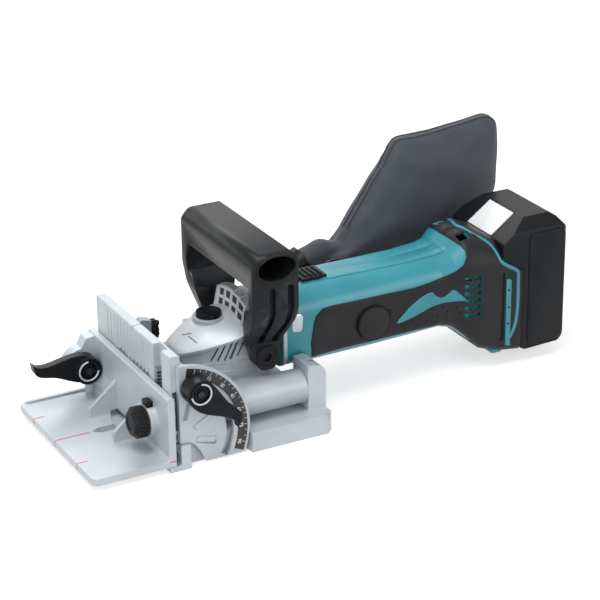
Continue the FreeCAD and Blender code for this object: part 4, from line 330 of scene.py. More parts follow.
GRIP = Finish("soft_grip", (0.0135, 0.0135, 0.0150), (0.0225, 0.0225, 0.0250), rough_low=0.36,
              rough_high=0.50, pattern=Pattern.PEBBLE, pitch=0.8, depth=0.02, strength=0.25, drift=30,
              edge_colour=(0.035, 0.037, 0.042), edge_radius=0.8, specular=0.2)
TEAL = Finish("teal_moulded", (0.018, 0.235, 0.300), (0.026, 0.285, 0.350), rough_low=0.28, rough_high=0.40,
              pitch=0.7, depth=0.02, strength=0.2, drift=45, edge_colour=(0.14, 0.47, 0.54), edge_radius=0.7,
              coat=0.15)
BATTERY = Finish("battery_moulded", (0.0055, 0.0064, 0.0076), (0.0095, 0.0110, 0.0128), rough_low=0.24,
                 rough_high=0.36, pattern=Pattern.PEBBLE, pitch=0.9, depth=0.015, strength=0.2, drift=25,
                 edge_colour=(0.030, 0.035, 0.041), edge_radius=2.4, specular=0.16)
WHITE = Finish("pale_button", (0.78, 0.80, 0.81), (0.86, 0.87, 0.88), rough_low=0.25, rough_high=0.38,
               pattern=Pattern.SMOOTH, edge_radius=0.5, coat=0.2)
SCALE = Finish("scale_black", (0.012, 0.012, 0.014), (0.020, 0.020, 0.023), rough_low=0.34, rough_high=0.46,
               pitch=0.5, depth=0.01, edge_radius=0.2)
PRINT = Finish("white_print", (0.80, 0.82, 0.83), (0.88, 0.89, 0.90), rough_low=0.5, rough_high=0.6,
               pitch=0.3, depth=0.01, edge_radius=0.05)
RED = Finish("red_ink", (0.52, 0.012, 0.045), (0.60, 0.020, 0.060), rough_low=0.45, rough_high=0.55,
             pitch=0.4, depth=0.01, edge_radius=0.05)
# Near-black for painted shade: the dark inside of slots, sockets, seams, the arrow's grooves and the grille's
# openings.
SHADOW_GROOVE = Finish("shadow_groove", (0.004, 0.004, 0.005), (0.007, 0.007, 0.008), rough_low=0.6, rough_high=0.8,
                edge_radius=0.1)
INSET = Finish("brushed_inset", (0.36, 0.40, 0.44), (0.46, 0.50, 0.54), metallic=0.8, rough_low=0.22,
               rough_high=0.34, pattern=Pattern.BRUSHED, pitch=0.4, depth=0.01, edge_radius=0.5)
RUBBER = Finish("pad_rubber", (0.014, 0.014, 0.015), (0.022, 0.022, 0.023), rough_low=0.6, rough_high=0.75,
                pattern=Pattern.PEBBLE, pitch=1.2, depth=0.08, edge_radius=0.4)
COPPER = Finish("commutator_copper", (0.62, 0.27, 0.12), (0.72, 0.36, 0.18), metallic=1.0, rough_low=0.25,
                rough_high=0.4, pattern=Pattern.BRUSHED, pitch=0.5, edge_radius=0.2)
CARBON = Finish("carbon_block", (0.015, 0.015, 0.016), (0.03, 0.03, 0.032), rough_low=0.5, rough_high=0.7,
                edge_radius=0.2)
LAMINATE = Finish("core_laminations", (0.16, 0.17, 0.18), (0.24, 0.25, 0.26), metallic=0.8, rough_low=0.4,
                  rough_high=0.55, pattern=Pattern.BRUSHED, pitch=0.5, edge_radius=0.2)
BOARD = Finish("circuit_board", (0.01, 0.10, 0.05), (0.02, 0.15, 0.08), rough_low=0.35, rough_high=0.5,
               edge_radius=0.2)
CLOTH = Finish("bag_cloth", (0.048, 0.056, 0.068), (0.064, 0.073, 0.088), rough_low=0.62, rough_high=0.78,
               pattern=Pattern.WEAVE, pitch=0.75, depth=0.06, strength=0.35, drift=55, edge_radius=0.5,
               sheen=0.25, specular=0.3)
PIPING = Finish("bag_piping", (0.012, 0.013, 0.016), (0.022, 0.024, 0.028), rough_low=0.5, rough_high=0.65,
                pattern=Pattern.PEBBLE, pitch=0.6, depth=0.04, edge_radius=0.1, sheen=0.2)


# ------------------------------------------------------------------------------------ mesh helpers
def finish_mesh(name: str, bm: bmesh.types.BMesh, finish: Finish, body: str, crease: float = 32.0) -> bpy.types.Object:
    """Turn a bmesh into a dressed piece that rides on a body.

    Args:
        name: The piece's name.
        bm: Its mesh, in metres in the row frame; freed here.
        finish: Its surface.
        body: The CAD body that it rides on.
        crease: Faces that meet at more than this angle, in degrees, keep a sharp edge.

    Returns:
        The new object.
    """
    mesh = bpy.data.meshes.new(name)
    bm.to_mesh(mesh)
    bm.free()
    mesh.shade_smooth()
    mesh.set_sharp_from_angle(angle=math.radians(crease))
    piece = bpy.data.objects.new(name, mesh)
    bpy.context.scene.collection.objects.link(piece)
    mesh.materials.append(finish.material())
    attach(piece, body)
    log.info("%s: %d faces on %s", name, len(mesh.polygons), body)
    return piece


def slab(bm: bmesh.types.BMesh, low: Sequence[float], high: Sequence[float],
         turn: Matrix | None = None) -> list[bmesh.types.BMVert]:
    """Add a box between two corners given in millimetres.

    Args:
        bm: The mesh to add to.
        low: The lowest corner.
        high: The highest corner.
        turn: A transform in metres applied after the box is placed.

    Returns:
        The box's vertices.
    """
    middle = Vector([(a + b) / 2 * MM for a, b in zip(low, high)])
    size = [abs(b - a) * MM for a, b in zip(low, high)]
    verts = bmesh.ops.create_cube(bm, size=1.0)["verts"]
    bmesh.ops.scale(bm, vec=size, verts=verts)
    bmesh.ops.translate(bm, vec=middle, verts=verts)
    if turn is not None:
        bmesh.ops.transform(bm, matrix=turn, verts=verts)
    return verts


def bevelled(bm: bmesh.types.BMesh, edges: list[bmesh.types.BMEdge], width: float, segments: int) -> None:
    """Round some edges of a mesh.

    Args:
        bm: The mesh to change.
        edges: The edges to round.
        width: In millimetres.
        segments: Steps of each rounding.
    """
    bmesh.ops.bevel(bm, geom=edges, offset=width * MM, offset_type="OFFSET", segments=segments,
                    profile=0.5, affect="EDGES", clamp_overlap=True, material=-1)


def soften(bm: bmesh.types.BMesh, width: float, segments: int = 2, angle: float = 35.0) -> None:
    """Bevel every edge sharper than an angle.

    Args:
        bm: The mesh.
        width: The bevel's width in millimetres.
        segments: Its steps.
        angle: The least angle between the faces, in degrees.
    """
    bm.normal_update()
    sharp = [e for e in bm.edges if len(e.link_faces) == 2 and e.calc_face_angle(0.0) > math.radians(angle)]
    if sharp:
        bevelled(bm, sharp, width, segments)


def round_upright(bm: bmesh.types.BMesh, radius: float, segments: int) -> None:
    """Round the edges of a plate that run along its thickness, which lies near Y.

    Args:
        bm: The plate's mesh.
        radius: In millimetres.
        segments: Steps of each corner.
    """
    upright = [e for e in bm.edges if abs((e.verts[1].co - e.verts[0].co).normalized().y) > 0.9]
    bevelled(bm, upright, radius, segments)


def disc(bm: bmesh.types.BMesh, centre: Vector, axis: Vector, radius: float, thick: float,
         steps: int = 40) -> list[bmesh.types.BMVert]:
    """Add a closed round plate whose outer face looks along an axis.

    Args:
        bm: The mesh to add to.
        centre: The middle of its outer face, in metres.
        axis: The direction that its outer face looks in.
        radius: In millimetres.
        thick: In millimetres, measured back from the outer face.
        steps: Sides of the circle.

    Returns:
        The new vertices.
    """
    turn = axis.normalized().to_track_quat("Z", "Y").to_matrix().to_4x4()
    place = Matrix.Translation(centre - axis.normalized() * thick * MM / 2) @ turn
    made = bmesh.ops.create_cone(bm, cap_ends=True, segments=steps, radius1=radius * MM, radius2=radius * MM,
                                 depth=thick * MM, matrix=place)
    return made["verts"]


def ring_arc(bm: bmesh.types.BMesh, centre: Vector, axis: Vector, radius: float, wire: float, start: float,
             sweep: float) -> None:
    """Add a round wire bent to an arc, closed at both ends.

    Args:
        bm: The mesh to add to.
        centre: The arc's centre, in metres.
        axis: The axis that it turns about.
        radius: Of the wire's line, in millimetres.
        wire: The wire's radius, in millimetres.
        start: Where it starts, in degrees from +X about the axis.
        sweep: How far it turns, in degrees.
    """
    turn = axis.normalized().to_track_quat("Z", "Y").to_matrix().to_4x4()
    base = Matrix.Translation(centre) @ turn @ Matrix.Rotation(math.radians(start), 4, "Z")
    place = base @ Matrix.Translation((radius * MM, 0, 0)) @ Matrix.Rotation(math.radians(90), 4, "X")
    made = bmesh.ops.create_circle(bm, cap_ends=True, segments=12, radius=wire * MM, matrix=place)
    face = made["verts"][0].link_faces[0]
    bmesh.ops.spin(bm, geom=list(made["verts"]) + list(face.edges) + [face], cent=centre,
                   axis=axis.normalized(), angle=math.radians(sweep), steps=max(8, int(sweep / 6)),
                   use_merge=False)
    bmesh.ops.recalc_face_normals(bm, faces=bm.faces)


def within(point: Point, outline: Sequence[Point]) -> bool:
    """Tell whether a point lies inside a closed outline.

    Args:
        point: The point to test.
        outline: The corners of the outline.

    Returns:
        True inside it.
    """
    inside = False
    for (x1, z1), (x2, z2) in zip(outline, list(outline[1:]) + [outline[0]]):
        if (z1 > point[1]) != (z2 > point[1]) and point[0] < (x2 - x1) * (point[1] - z1) / (z2 - z1) + x1:
            inside = not inside
    return inside


def between(p0: Vector, p1: Vector, p2: Vector, p3: Vector, share: float) -> Vector:
    """Return the point of a Catmull-Rom span from p1 to p2.

    Args:
        p0: The stop before the span.
        p1: Its start.
        p2: Its end.
        p3: The stop after it.
        share: How far along the span the point lies, from 0 to 1.

    Returns:
        The point.
    """
    return 0.5 * ((2 * p1) + (p2 - p0) * share + (2 * p0 - 5 * p1 + 4 * p2 - p3) * share * share
                  + (3 * p1 - p0 - 3 * p2 + p3) * share * share * share)


def curved(corners: Sequence[Point], steps: int = 4) -> list[Point]:
    """Round an outline by a closed Catmull-Rom curve through its corners.

    Args:
        corners: The points that it passes.
        steps: Points for each span.

    Returns:
        The smoother outline.
    """
    count = len(corners)
    out: list[Point] = []
    for i in range(count):
        p0, p1, p2, p3 = (Vector((*corners[(i + k) % count], 0.0)) for k in (-1, 0, 1, 2))
        for step in range(steps):
            point = between(p0, p1, p2, p3, step / steps)
            out.append((point.x, point.y))
    return out


class Skin:
    """The outer surface of a CAD piece, which trim is laid on."""

    def __init__(self, node: str) -> None:
        """Copy and merge the CAD piece's mesh.

        Args:
            node: The CAD node.
        """
        self.node = node
        self.bm = bmesh.new()
        self.bm.from_mesh(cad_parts[node].data)
        bmesh.ops.remove_doubles(self.bm, verts=self.bm.verts, dist=1e-6)
        self.bm.normal_update()
        self.tree = BVHTree.FromBMesh(self.bm)

    def meet(self, start: Vector, direction: Vector) -> tuple[Vector, Vector]:
        """Find where a ray meets the piece.

        Args:
            start: Where the ray starts, in metres.
            direction: Where it points.

        Returns:
            The point and the outward normal there.

        Raises:
            ValueError: The ray misses the piece.
        """
        point, normal, _, _ = self.tree.ray_cast(start, direction.normalized())
        if point is None:
            raise ValueError(f"the ray from {tuple(start)} misses {self.node}")
        return point, normal if normal.dot(direction) < 0 else -normal

    def side_point(self, x: float, z: float, side: int) -> tuple[Vector, Vector]:
        """Find the side surface at a place.

        Args:
            x: Along the tool, in millimetres.
            z: Level, in millimetres.
            side: -1 for the near side and 1 for the far side.

        Returns:
            The point and the outward normal there.
        """
        return self.meet(Vector((x * MM, side * 0.2, z * MM)), Vector((0, -side, 0)))

    def patch(self, outline: Sequence[Point], keep: Callable[[bmesh.types.BMFace], bool], lift: float,
              sink: float = 0.3, upward: bool = False, edge: float = 0.35) -> bmesh.types.BMesh:
        """Cut an outline out of the surface and thicken it into a raised panel.

        Args:
            outline: Corners in millimetres, as (x, z), or (x, y) where upward is set.
            keep: Picks the faces of the outer surface.
            lift: How far the panel stands above the surface, in millimetres.
            sink: How far it reaches below it.
            upward: Look from above instead of from the side.
            edge: Rounding of its rim, in millimetres.

        Returns:
            The panel's mesh.
        """
        bm = self.bm.copy()
        rest = [f for f in bm.faces if not keep(f)]
        bmesh.ops.delete(bm, geom=rest, context="FACES")
        across = 1 if upward else 2
        corners = [(a * MM, b * MM) for a, b in outline]
        for first, second in zip(corners, corners[1:] + corners[:1]):
            self._slice(bm, first, second, across)
        outside = [f for f in bm.faces
                   if not within((f.calc_center_median()[0], f.calc_center_median()[across]), corners)]
        bmesh.ops.delete(bm, geom=outside, context="FACES")
        bmesh.ops.remove_doubles(bm, verts=bm.verts, dist=2e-6)
        bmesh.ops.dissolve_degenerate(bm, edges=bm.edges, dist=1e-6)
        bm.normal_update()
        for vert in bm.verts:
            vert.co = vert.co - vert.normal * sink * MM
        bm.normal_update()
        bottom = list(bm.faces)
        made = bmesh.ops.extrude_face_region(bm, geom=bottom, use_keep_orig=True)
        top = [v for v in made["geom"] if isinstance(v, bmesh.types.BMVert)]
        faces = [f for f in made["geom"] if isinstance(f, bmesh.types.BMFace)]
        for vert in top:
            total = Vector()
            for face in vert.link_faces:
                if face in faces:
                    total += face.normal
            if total.length:
                vert.co += total.normalized() * (lift + sink) * MM
        for face in bottom:
            face.normal_flip()
        bm.normal_update()
        top_set = set(faces)
        rim = [e for e in bm.edges if len([f for f in e.link_faces if f in top_set]) == 1]
        if edge and rim:
            bmesh.ops.bevel(bm, geom=rim, offset=edge * MM, offset_type="OFFSET", segments=2, profile=0.5,
                            affect="EDGES", clamp_overlap=True, material=-1)
        return bm

    @staticmethod
    def _slice(bm: bmesh.types.BMesh, first: Point, second: Point, across: int) -> None:
        """Cut the faces beside one edge of an outline along that edge's plane.

        Args:
            bm: The mesh to cut.
            first: Start of the edge, in metres.
            second: Its end.
            across: The second axis of the outline: 1 for Y and 2 for Z.
        """
        span = Vector((second[0] - first[0], second[1] - first[1]))
        if span.length < 1e-7:
            return
        point, normal = Vector((first[0], 0, 0)), Vector((span.y, 0, 0))
        point[across], normal[across] = first[1], -span.x
        slack = 2e-4
        near = []
        for face in bm.faces:
            places = [[v.co[k] for v in face.verts] for k in (0, across)]
            if all(max(values) >= min(a, b) - slack and min(values) <= max(a, b) + slack
                   for values, a, b in zip(places, first, second)):
                near.append(face)
        edges = {e for f in near for e in f.edges}
        verts = {v for f in near for v in f.verts}
        bmesh.ops.bisect_plane(bm, geom=list(verts) + list(edges) + near, dist=1e-7, plane_co=point,
                               plane_no=normal.normalized())


def bead(points: Iterable[Vector], radius: float, closed: bool = False) -> bmesh.types.BMesh:
    """Sweep a round bead along points.

    Args:
        points: The bead's line, in metres.
        radius: Its radius, in millimetres.
        closed: Join its ends.

    Returns:
        The bead's mesh.
    """
    route = list(points)
    curve = bpy.data.curves.new("bead_line", "CURVE")
    curve.dimensions = "3D"
    curve.bevel_depth = radius * MM
    curve.bevel_resolution = 3
    curve.use_fill_caps = True
    spline = curve.splines.new("POLY")
    spline.points.add(len(route) - 1)
    for node, point in zip(spline.points, route):
        node.co = (*point, 1.0)
    spline.use_cyclic_u = closed
    holder = bpy.data.objects.new("bead_line", curve)
    mesh = bpy.data.meshes.new_from_object(holder)
    bm = bmesh.new()
    bm.from_mesh(mesh)
    bpy.data.objects.remove(holder)
    bpy.data.curves.remove(curve)
    bpy.data.meshes.remove(mesh)
    return bm


def line_on(name: str, points: Iterable[Vector], radius: float, finish: Finish, body: str,
            closed: bool = False) -> bpy.types.Object:
    """Lay a thin round bead along points as a piece of its own.

    Args:
        name: The piece's name.
        points: The bead's line, in metres.
        radius: Its radius, in millimetres.
        finish: Its surface.
        body: The body that it rides on.
        closed: Join its ends.

    Returns:
        The new piece.
    """
    return finish_mesh(name, bead(points, radius, closed), finish, body, crease=60)


def spaced(corners: Sequence[Sequence[float]], gap: float = 1.5) -> list[Vector]:
    """Return points a set distance apart along a smooth line through corners.

    Args:
        corners: The points that it passes, in millimetres.
        gap: The distance between points, in millimetres.

    Returns:
        The points in metres.
    """
    stops = [Vector(c) for c in corners]
    ends = [stops[0] * 2 - stops[1]] + stops + [stops[-1] * 2 - stops[-2]]
    out: list[Vector] = []
    for p0, p1, p2, p3 in zip(ends, ends[1:], ends[2:], ends[3:]):
        steps = max(1, int((p2 - p1).length / gap))
        out += [between(p0, p1, p2, p3, step / steps) * MM for step in range(steps)]
    return out + [stops[-1] * MM]


def spread(low: float, high: float, pitch: float) -> list[float]:
    """Return the places from low to high, a pitch apart."""
    return [low + index * pitch for index in range(int((high - low) / pitch) + 1)]


def number_mesh(bm: bmesh.types.BMesh, text: str, size: float, place: Matrix) -> None:
    """Add a plain number as a thin raised print.

    Args:
        bm: The mesh to add to.
        text: The digits.
        size: Their height, in millimetres.
        place: Puts the number, which lies in XY facing +Z, where it goes.
    """
    curve = bpy.data.curves.new("number", "FONT")
    curve.body = text
    curve.size = size * MM * 1.35
    curve.align_x = "CENTER"
    curve.align_y = "CENTER"
    curve.extrude = 0.04 * MM
    curve.offset = 0.05 * MM
    holder = bpy.data.objects.new("number", curve)
    mesh = bpy.data.meshes.new_from_object(holder)
    mesh.transform(place)
    bm.from_mesh(mesh)
    bpy.data.objects.remove(holder)
    bpy.data.curves.remove(curve)
    bpy.data.meshes.remove(mesh)


# ------------------------------------------------------------------------------------ sub-assemblies
@dataclass
class CastParts:
    """The finishes of every CAD piece."""

    groups: tuple[tuple[Finish, str], ...] = (
        (PLATE, "base_plate base_casting angle_guide angle_quadrant fence"),
        (STEEL, "guide_rods rod_pins hinge_pins angle_bolt base_screws nozzle_screw quadrant_screws "
         "height_rack fence_lock_bolt knob_pinion bearings stop_screw spindle blade "
         "inner_flange lock_nut bevel_gear motor_shaft bevel_pinion switch_link"),
        (SPRING, "return_springs"),
        (RUBBER, "front_pads"),
        (BLACK, "dust_nozzle height_knob fence_lever angle_lever brush_caps switch_body "
         "terminal_block handle_bolts cooling_fan shaft_lock slide_switch depth_turret "
         "bag_ring"),
        (CAST, "depth_stop_post gear_housing bearing_box slide_tube_far slide_tube_near "
         "handle_bosses"),
        (SCALE, "angle_scale height_scale"),
        (LAMINATE, "motor_field armature_core"),
        (TEAL, "motor_housing_far motor_housing_near"),
        (CARBON, "carbon_brushes"),
        (COPPER, "brush_holders commutator"),
        (BOARD, "speed_board"),
        (HANDLE, "side_handle"),
        (BATTERY, "battery_case"),
        (WHITE, "battery_button"),
        (CLOTH, "dust_bag"))

    def dress(self) -> None:
        """Give every CAD piece its finish."""
        finishes = {name: finish for finish, names in self.groups for name in names.split()}
        for name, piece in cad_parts.items():
            piece.data.materials.clear()
            piece.data.materials.append(finishes[name].material())


@dataclass
class FenceTrim:
    """Red index lines and end mark of the fence, the black stop of the knob's boss and the knob's face."""

    line_places: tuple[float, ...] = (-41.4, 0.0, 41.4)
    line_lengths: tuple[float, ...] = (8.5, 28.0, 8.5)
    line_width: float = 1.0
    top: float = 9.8
    end_mark: tuple[Point, Point] = ((-5.6, 8.6), (-0.8, 9.3))
    stop: tuple[Place, Place] = ((-11.9, -47.6, 43.4), (-6.5, -38.6, 48.4))
    dish_radius: float = 9.6
    dish_depth: float = 1.4

    def build(self) -> None:
        """Make the pieces."""
        low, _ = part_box("fence")
        front, top = low.x / MM, self.top
        bm = bmesh.new()
        for across, length in zip(self.line_places, self.line_lengths):
            half = self.line_width / 2
            slab(bm, (front + 0.2, across - half, top - 0.2), (front + length, across + half, top + 0.06))
            slab(bm, (front - 0.06, across - half, top - 5.0), (front + 0.3, across + half, top - 0.1))
        finish_mesh("fence_lines", bm, RED, "fence_body")
        bm = bmesh.new()
        end = low.y / MM
        (x1, z1), (x2, z2) = self.end_mark
        slab(bm, (x1, end - 0.06, z1), (x2, end + 0.3, z2))
        finish_mesh("fence_end_mark", bm, RED, "fence_body")
        bm = bmesh.new()
        slab(bm, *self.stop)
        soften(bm, 0.7, 3)
        finish_mesh("knob_stop", bm, BLACK, "fence_body")
        self._knob_face()

    def _knob_face(self) -> None:
        """Lay a round plate with softened edges on the knob's front face."""
        low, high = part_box("height_knob")
        centre = Vector((low.x - 0.0001, (low.y + high.y) / 2, (low.z + high.z) / 2))
        bm = bmesh.new()
        disc(bm, centre + Vector((0.0006, 0, 0)), Vector((-1, 0, 0)), self.dish_radius, self.dish_depth, 48)
        soften(bm, 0.5, 2)
        finish_mesh("knob_face", bm, BLACK, "knob")


@dataclass
class GuideTrim:
    """The height scale's marks, the floors of the guide's flutes and the guide's centre mark."""

    tick_pitch: float = 2.0
    flutes: Point = (-27.0, 48.0)
    flute_pitch: float = 6.0
    flute_half: float = 1.49
    flute_low: float = 28.7
    flute_high: float = 84.5

    def build(self) -> None:
        """Make the pieces."""
        low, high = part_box("height_scale")
        face = low.y / MM
        bm = bmesh.new()
        count = int((high.z - low.z) / MM / self.tick_pitch) - 1
        for index in range(count):
            level = low.z / MM + (index + 1) * self.tick_pitch
            length = 1.7 if index % 5 == 0 else 1.0
            start = low.x / MM + 0.2
            slab(bm, (start, face - 0.05, level - 0.16), (start + length, face + 0.1, level + 0.16))
        finish_mesh("height_marks", bm, PRINT, "guide")
        bm = bmesh.new()
        for across in spread(*self.flutes, self.flute_pitch):
            slab(bm, (0.3, across - self.flute_half, self.flute_low),
                 (1.2, across + self.flute_half, self.flute_high))
        finish_mesh("flute_floors", bm, PLATE, "guide")
        bm = bmesh.new()
        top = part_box("angle_guide")[1].z / MM
        slab(bm, (0.6, -0.4, top - 0.3), (7.6, 0.4, top + 0.06))
        slab(bm, (-0.06, -0.4, top - 3.6), (0.3, 0.4, top + 0.02))
        finish_mesh("guide_centre_mark", bm, RED, "guide")


@dataclass
class QuadrantTrim:
    """Numbers and ticks of the angle scale, and the floors of the quadrant's recesses."""

    centre: Point = (3.6, 23.6)
    outer: float = 55.4
    zero_angle: float = 75.0
    numbers: tuple[int, ...] = (0, 15, 30, 45, 60, 75, 90)
    tick_step: int = 5
    recesses: tuple[tuple[float, float, float, float, float, float], ...] = (
        (11.6, 50.4, 8.2, 38.2, 3.2, -68.9), (30.0, 36.2, 16.0, 29.6, 4.0, -68.2),
        (33.2, 14.8, 17.8, 19.6, 3.8, -68.2))

    def build(self) -> None:
        """Make the pieces."""
        low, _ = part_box("angle_scale")
        face = low.y
        bm = bmesh.new()
        for degrees in range(self.numbers[0], self.numbers[-1] + 1, self.tick_step):
            length = 2.6 if degrees % 15 == 0 else 1.5
            turn = self._frame(degrees, face)
            slab(bm, (-0.18, self.outer - 0.5 - length, -0.1), (0.18, self.outer - 0.5, 0.06), turn)
        finish_mesh("angle_ticks", bm, PRINT, "guide")
        bm = bmesh.new()
        for degrees in self.numbers:
            turn = self._frame(degrees, face) @ Matrix.Translation((0, (self.outer - 5.3) * MM, 0.00005))
            number_mesh(bm, str(degrees), 2.9, turn)
        finish_mesh("angle_numbers", bm, PRINT, "guide")
        self._recesses()

    def _recesses(self) -> None:
        """Sink the floors of the three cast recesses, which fan out from the hinge, in the darker silver as painted
        shade.
        """
        for index, (x1, z1, x2, z2, wide, face) in enumerate(self.recesses):
            start, end = Vector((x1, 0, z1)), Vector((x2, 0, z2))
            along = (end - start).normalized()
            turn = Matrix((along, Vector((0, 1, 0)), along.cross(Vector((0, 1, 0))))).transposed().to_4x4()
            place = Matrix.Translation(Vector(((x1 + x2) / 2, face, (z1 + z2) / 2)) * MM) @ turn
            half = (end - start).length / 2
            bm = bmesh.new()
            slab(bm, (-half, -0.12, -wide / 2), (half, 0.4, wide / 2), place)
            round_upright(bm, 1.0, 3)
            bmesh.ops.recalc_face_normals(bm, faces=bm.faces)
            finish_mesh(f"quadrant_recess_{index + 1}", bm, SHADE, "guide")

    def _frame(self, degrees: float, face: float) -> Matrix:
        """Return the place of one mark: its Y points outward along the mark's radius, its Z to -Y.

        Args:
            degrees: The mark's reading.
            face: The level of the band's face along Y, in metres.

        Returns:
            The transform from the mark's own frame to the row frame.
        """
        angle = math.radians(self.zero_angle - degrees)
        out = Vector((math.cos(angle), 0, math.sin(angle)))
        facing = Vector((0, -1, 0))
        side = out.cross(facing)
        turn = Matrix((side, out, facing)).transposed().to_4x4()
        return Matrix.Translation((self.centre[0] * MM, face, self.centre[1] * MM)) @ turn


@dataclass
class LeverTrim:
    """Spring clips and socket screws of the two clamp levers."""

    screw_radius: float = 5.2
    clip_radius: float = 7.7
    clip_wire: float = 0.75

    def build(self) -> None:
        """Make the pieces of both levers."""
        for lever, body, centre, start, sweep in (("angle_lever", "angle_clamp", (15.9, 63.1), -172.0, 262.0),
                                                  ("fence_lever", "fence_clamp", (-17.2, 36.0), 92.0, 262.0)):
            low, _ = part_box(lever)
            middle = Vector((centre[0] * MM, low.y, centre[1] * MM))
            self._clip(lever, body, middle, start, sweep)
            self._screw(lever, body, middle)

    def _clip(self, lever: str, body: str, middle: Vector, start: float, sweep: float) -> None:
        """Make the open ring around the hub.

        Args:
            lever: The CAD lever.
            body: Its body.
            middle: The centre of the hub's near face.
            start: Where the ring starts, in degrees.
            sweep: How far it turns, in degrees.
        """
        bm = bmesh.new()
        centre = middle + Vector((0, 0.0001, 0))
        ring_arc(bm, centre, Vector((0, -1, 0)), self.clip_radius, self.clip_wire, start, sweep)
        finish_mesh(lever + "_clip", bm, PLATE, body, crease=50)

    def _screw(self, lever: str, body: str, middle: Vector) -> None:
        """Make the cap screw with its six-sided socket, and a near-black hexagon in the socket as painted shade.

        Args:
            lever: The CAD lever.
            body: Its body.
            middle: The centre of the hub's near face.
        """
        bm = bmesh.new()
        verts = disc(bm, middle + Vector((0, 0.0006, 0)), Vector((0, -1, 0)), self.screw_radius, 2.4, 36)
        front = min({f for v in verts for f in v.link_faces if len(f.verts) > 6},
                    key=lambda f: f.calc_center_median().y)
        bmesh.ops.inset_individual(bm, faces=[front], thickness=1.5 * MM)
        pushed = bmesh.ops.extrude_discrete_faces(bm, faces=[front])["faces"][0]
        bmesh.ops.translate(bm, vec=(0, 0.5 * MM, 0), verts=pushed.verts)
        soften(bm, 0.3, 2, 50)
        finish_mesh(lever + "_screw", bm, BLACK, body)
        # Painted shade: a flat near-black hexagon stands for the shade inside the socket.
        bm = bmesh.new()
        disc(bm, middle - Vector((0, 0.00005, 0)), Vector((0, -1, 0)), 2.9, 0.6, 6)
        finish_mesh(lever + "_socket", bm, SHADOW_GROOVE, body)


@dataclass
class HousingTrim:
    """The gear housing's turning arrow and cooling slots, drawn as near-black beads of painted shade, and its cover
    seam.
    """

    arrow: tuple[tuple[Point, ...], ...] = (((39.1, -2.3), (44.3, -7.6)), ((41.7, -7.7), (44.3, -16.6)))
    slots: tuple[tuple[float, float, float, float], ...] = (
        (57.6, 67.4, 52.2, 57.2), (62.6, 68.6, 56.9, 57.0), (67.6, 68.8, 61.6, 56.8),
        (72.2, 69.0, 66.2, 57.4), (76.4, 69.0, 71.4, 59.4))
    seam: tuple[Point, ...] = ((46.0, 54.6), (58.0, 54.4), (70.0, 54.6), (79.0, 55.4))

    def build(self) -> None:
        """Make the pieces."""
        skin = Skin("gear_housing")
        for index, (first, second) in enumerate(self.arrow):
            points = []
            for step in range(9):
                x, y = (a + (b - a) * step / 8 for a, b in zip(first, second))
                point, normal = skin.meet(Vector((x * MM, y * MM, 0.2)), Vector((0, 0, -1)))
                points.append(point + normal * 0.00005)
            # Painted shade: the arrow's strokes are near-black beads.
            line_on(f"arrow_stroke_{index + 1}", points, 0.3, SHADOW_GROOVE, "motor_unit")
        for label, side in SIDES:
            for index, (x1, z1, x2, z2) in enumerate(self.slots):
                points = []
                for step in range(9):
                    t = step / 8
                    point, normal = skin.side_point(x1 + (x2 - x1) * t, z1 + (z2 - z1) * t, side)
                    points.append(point - normal * 0.0002)
                # Painted shade: each cooling slot is a near-black bead sunk into the surface.
                line_on(f"cooling_slot_{label}_{index + 1}", points, 0.62, SHADOW_GROOVE, "motor_unit")
            seam = [skin.side_point(p.x / MM, p.y / MM, side) for p in spaced([(*s, 0.0) for s in self.seam])]
            line_on(f"cover_seam_{label}", [point + normal * 0.0001 for point, normal in seam], 0.35, INSET,
                    "motor_unit")
        skin.bm.free()


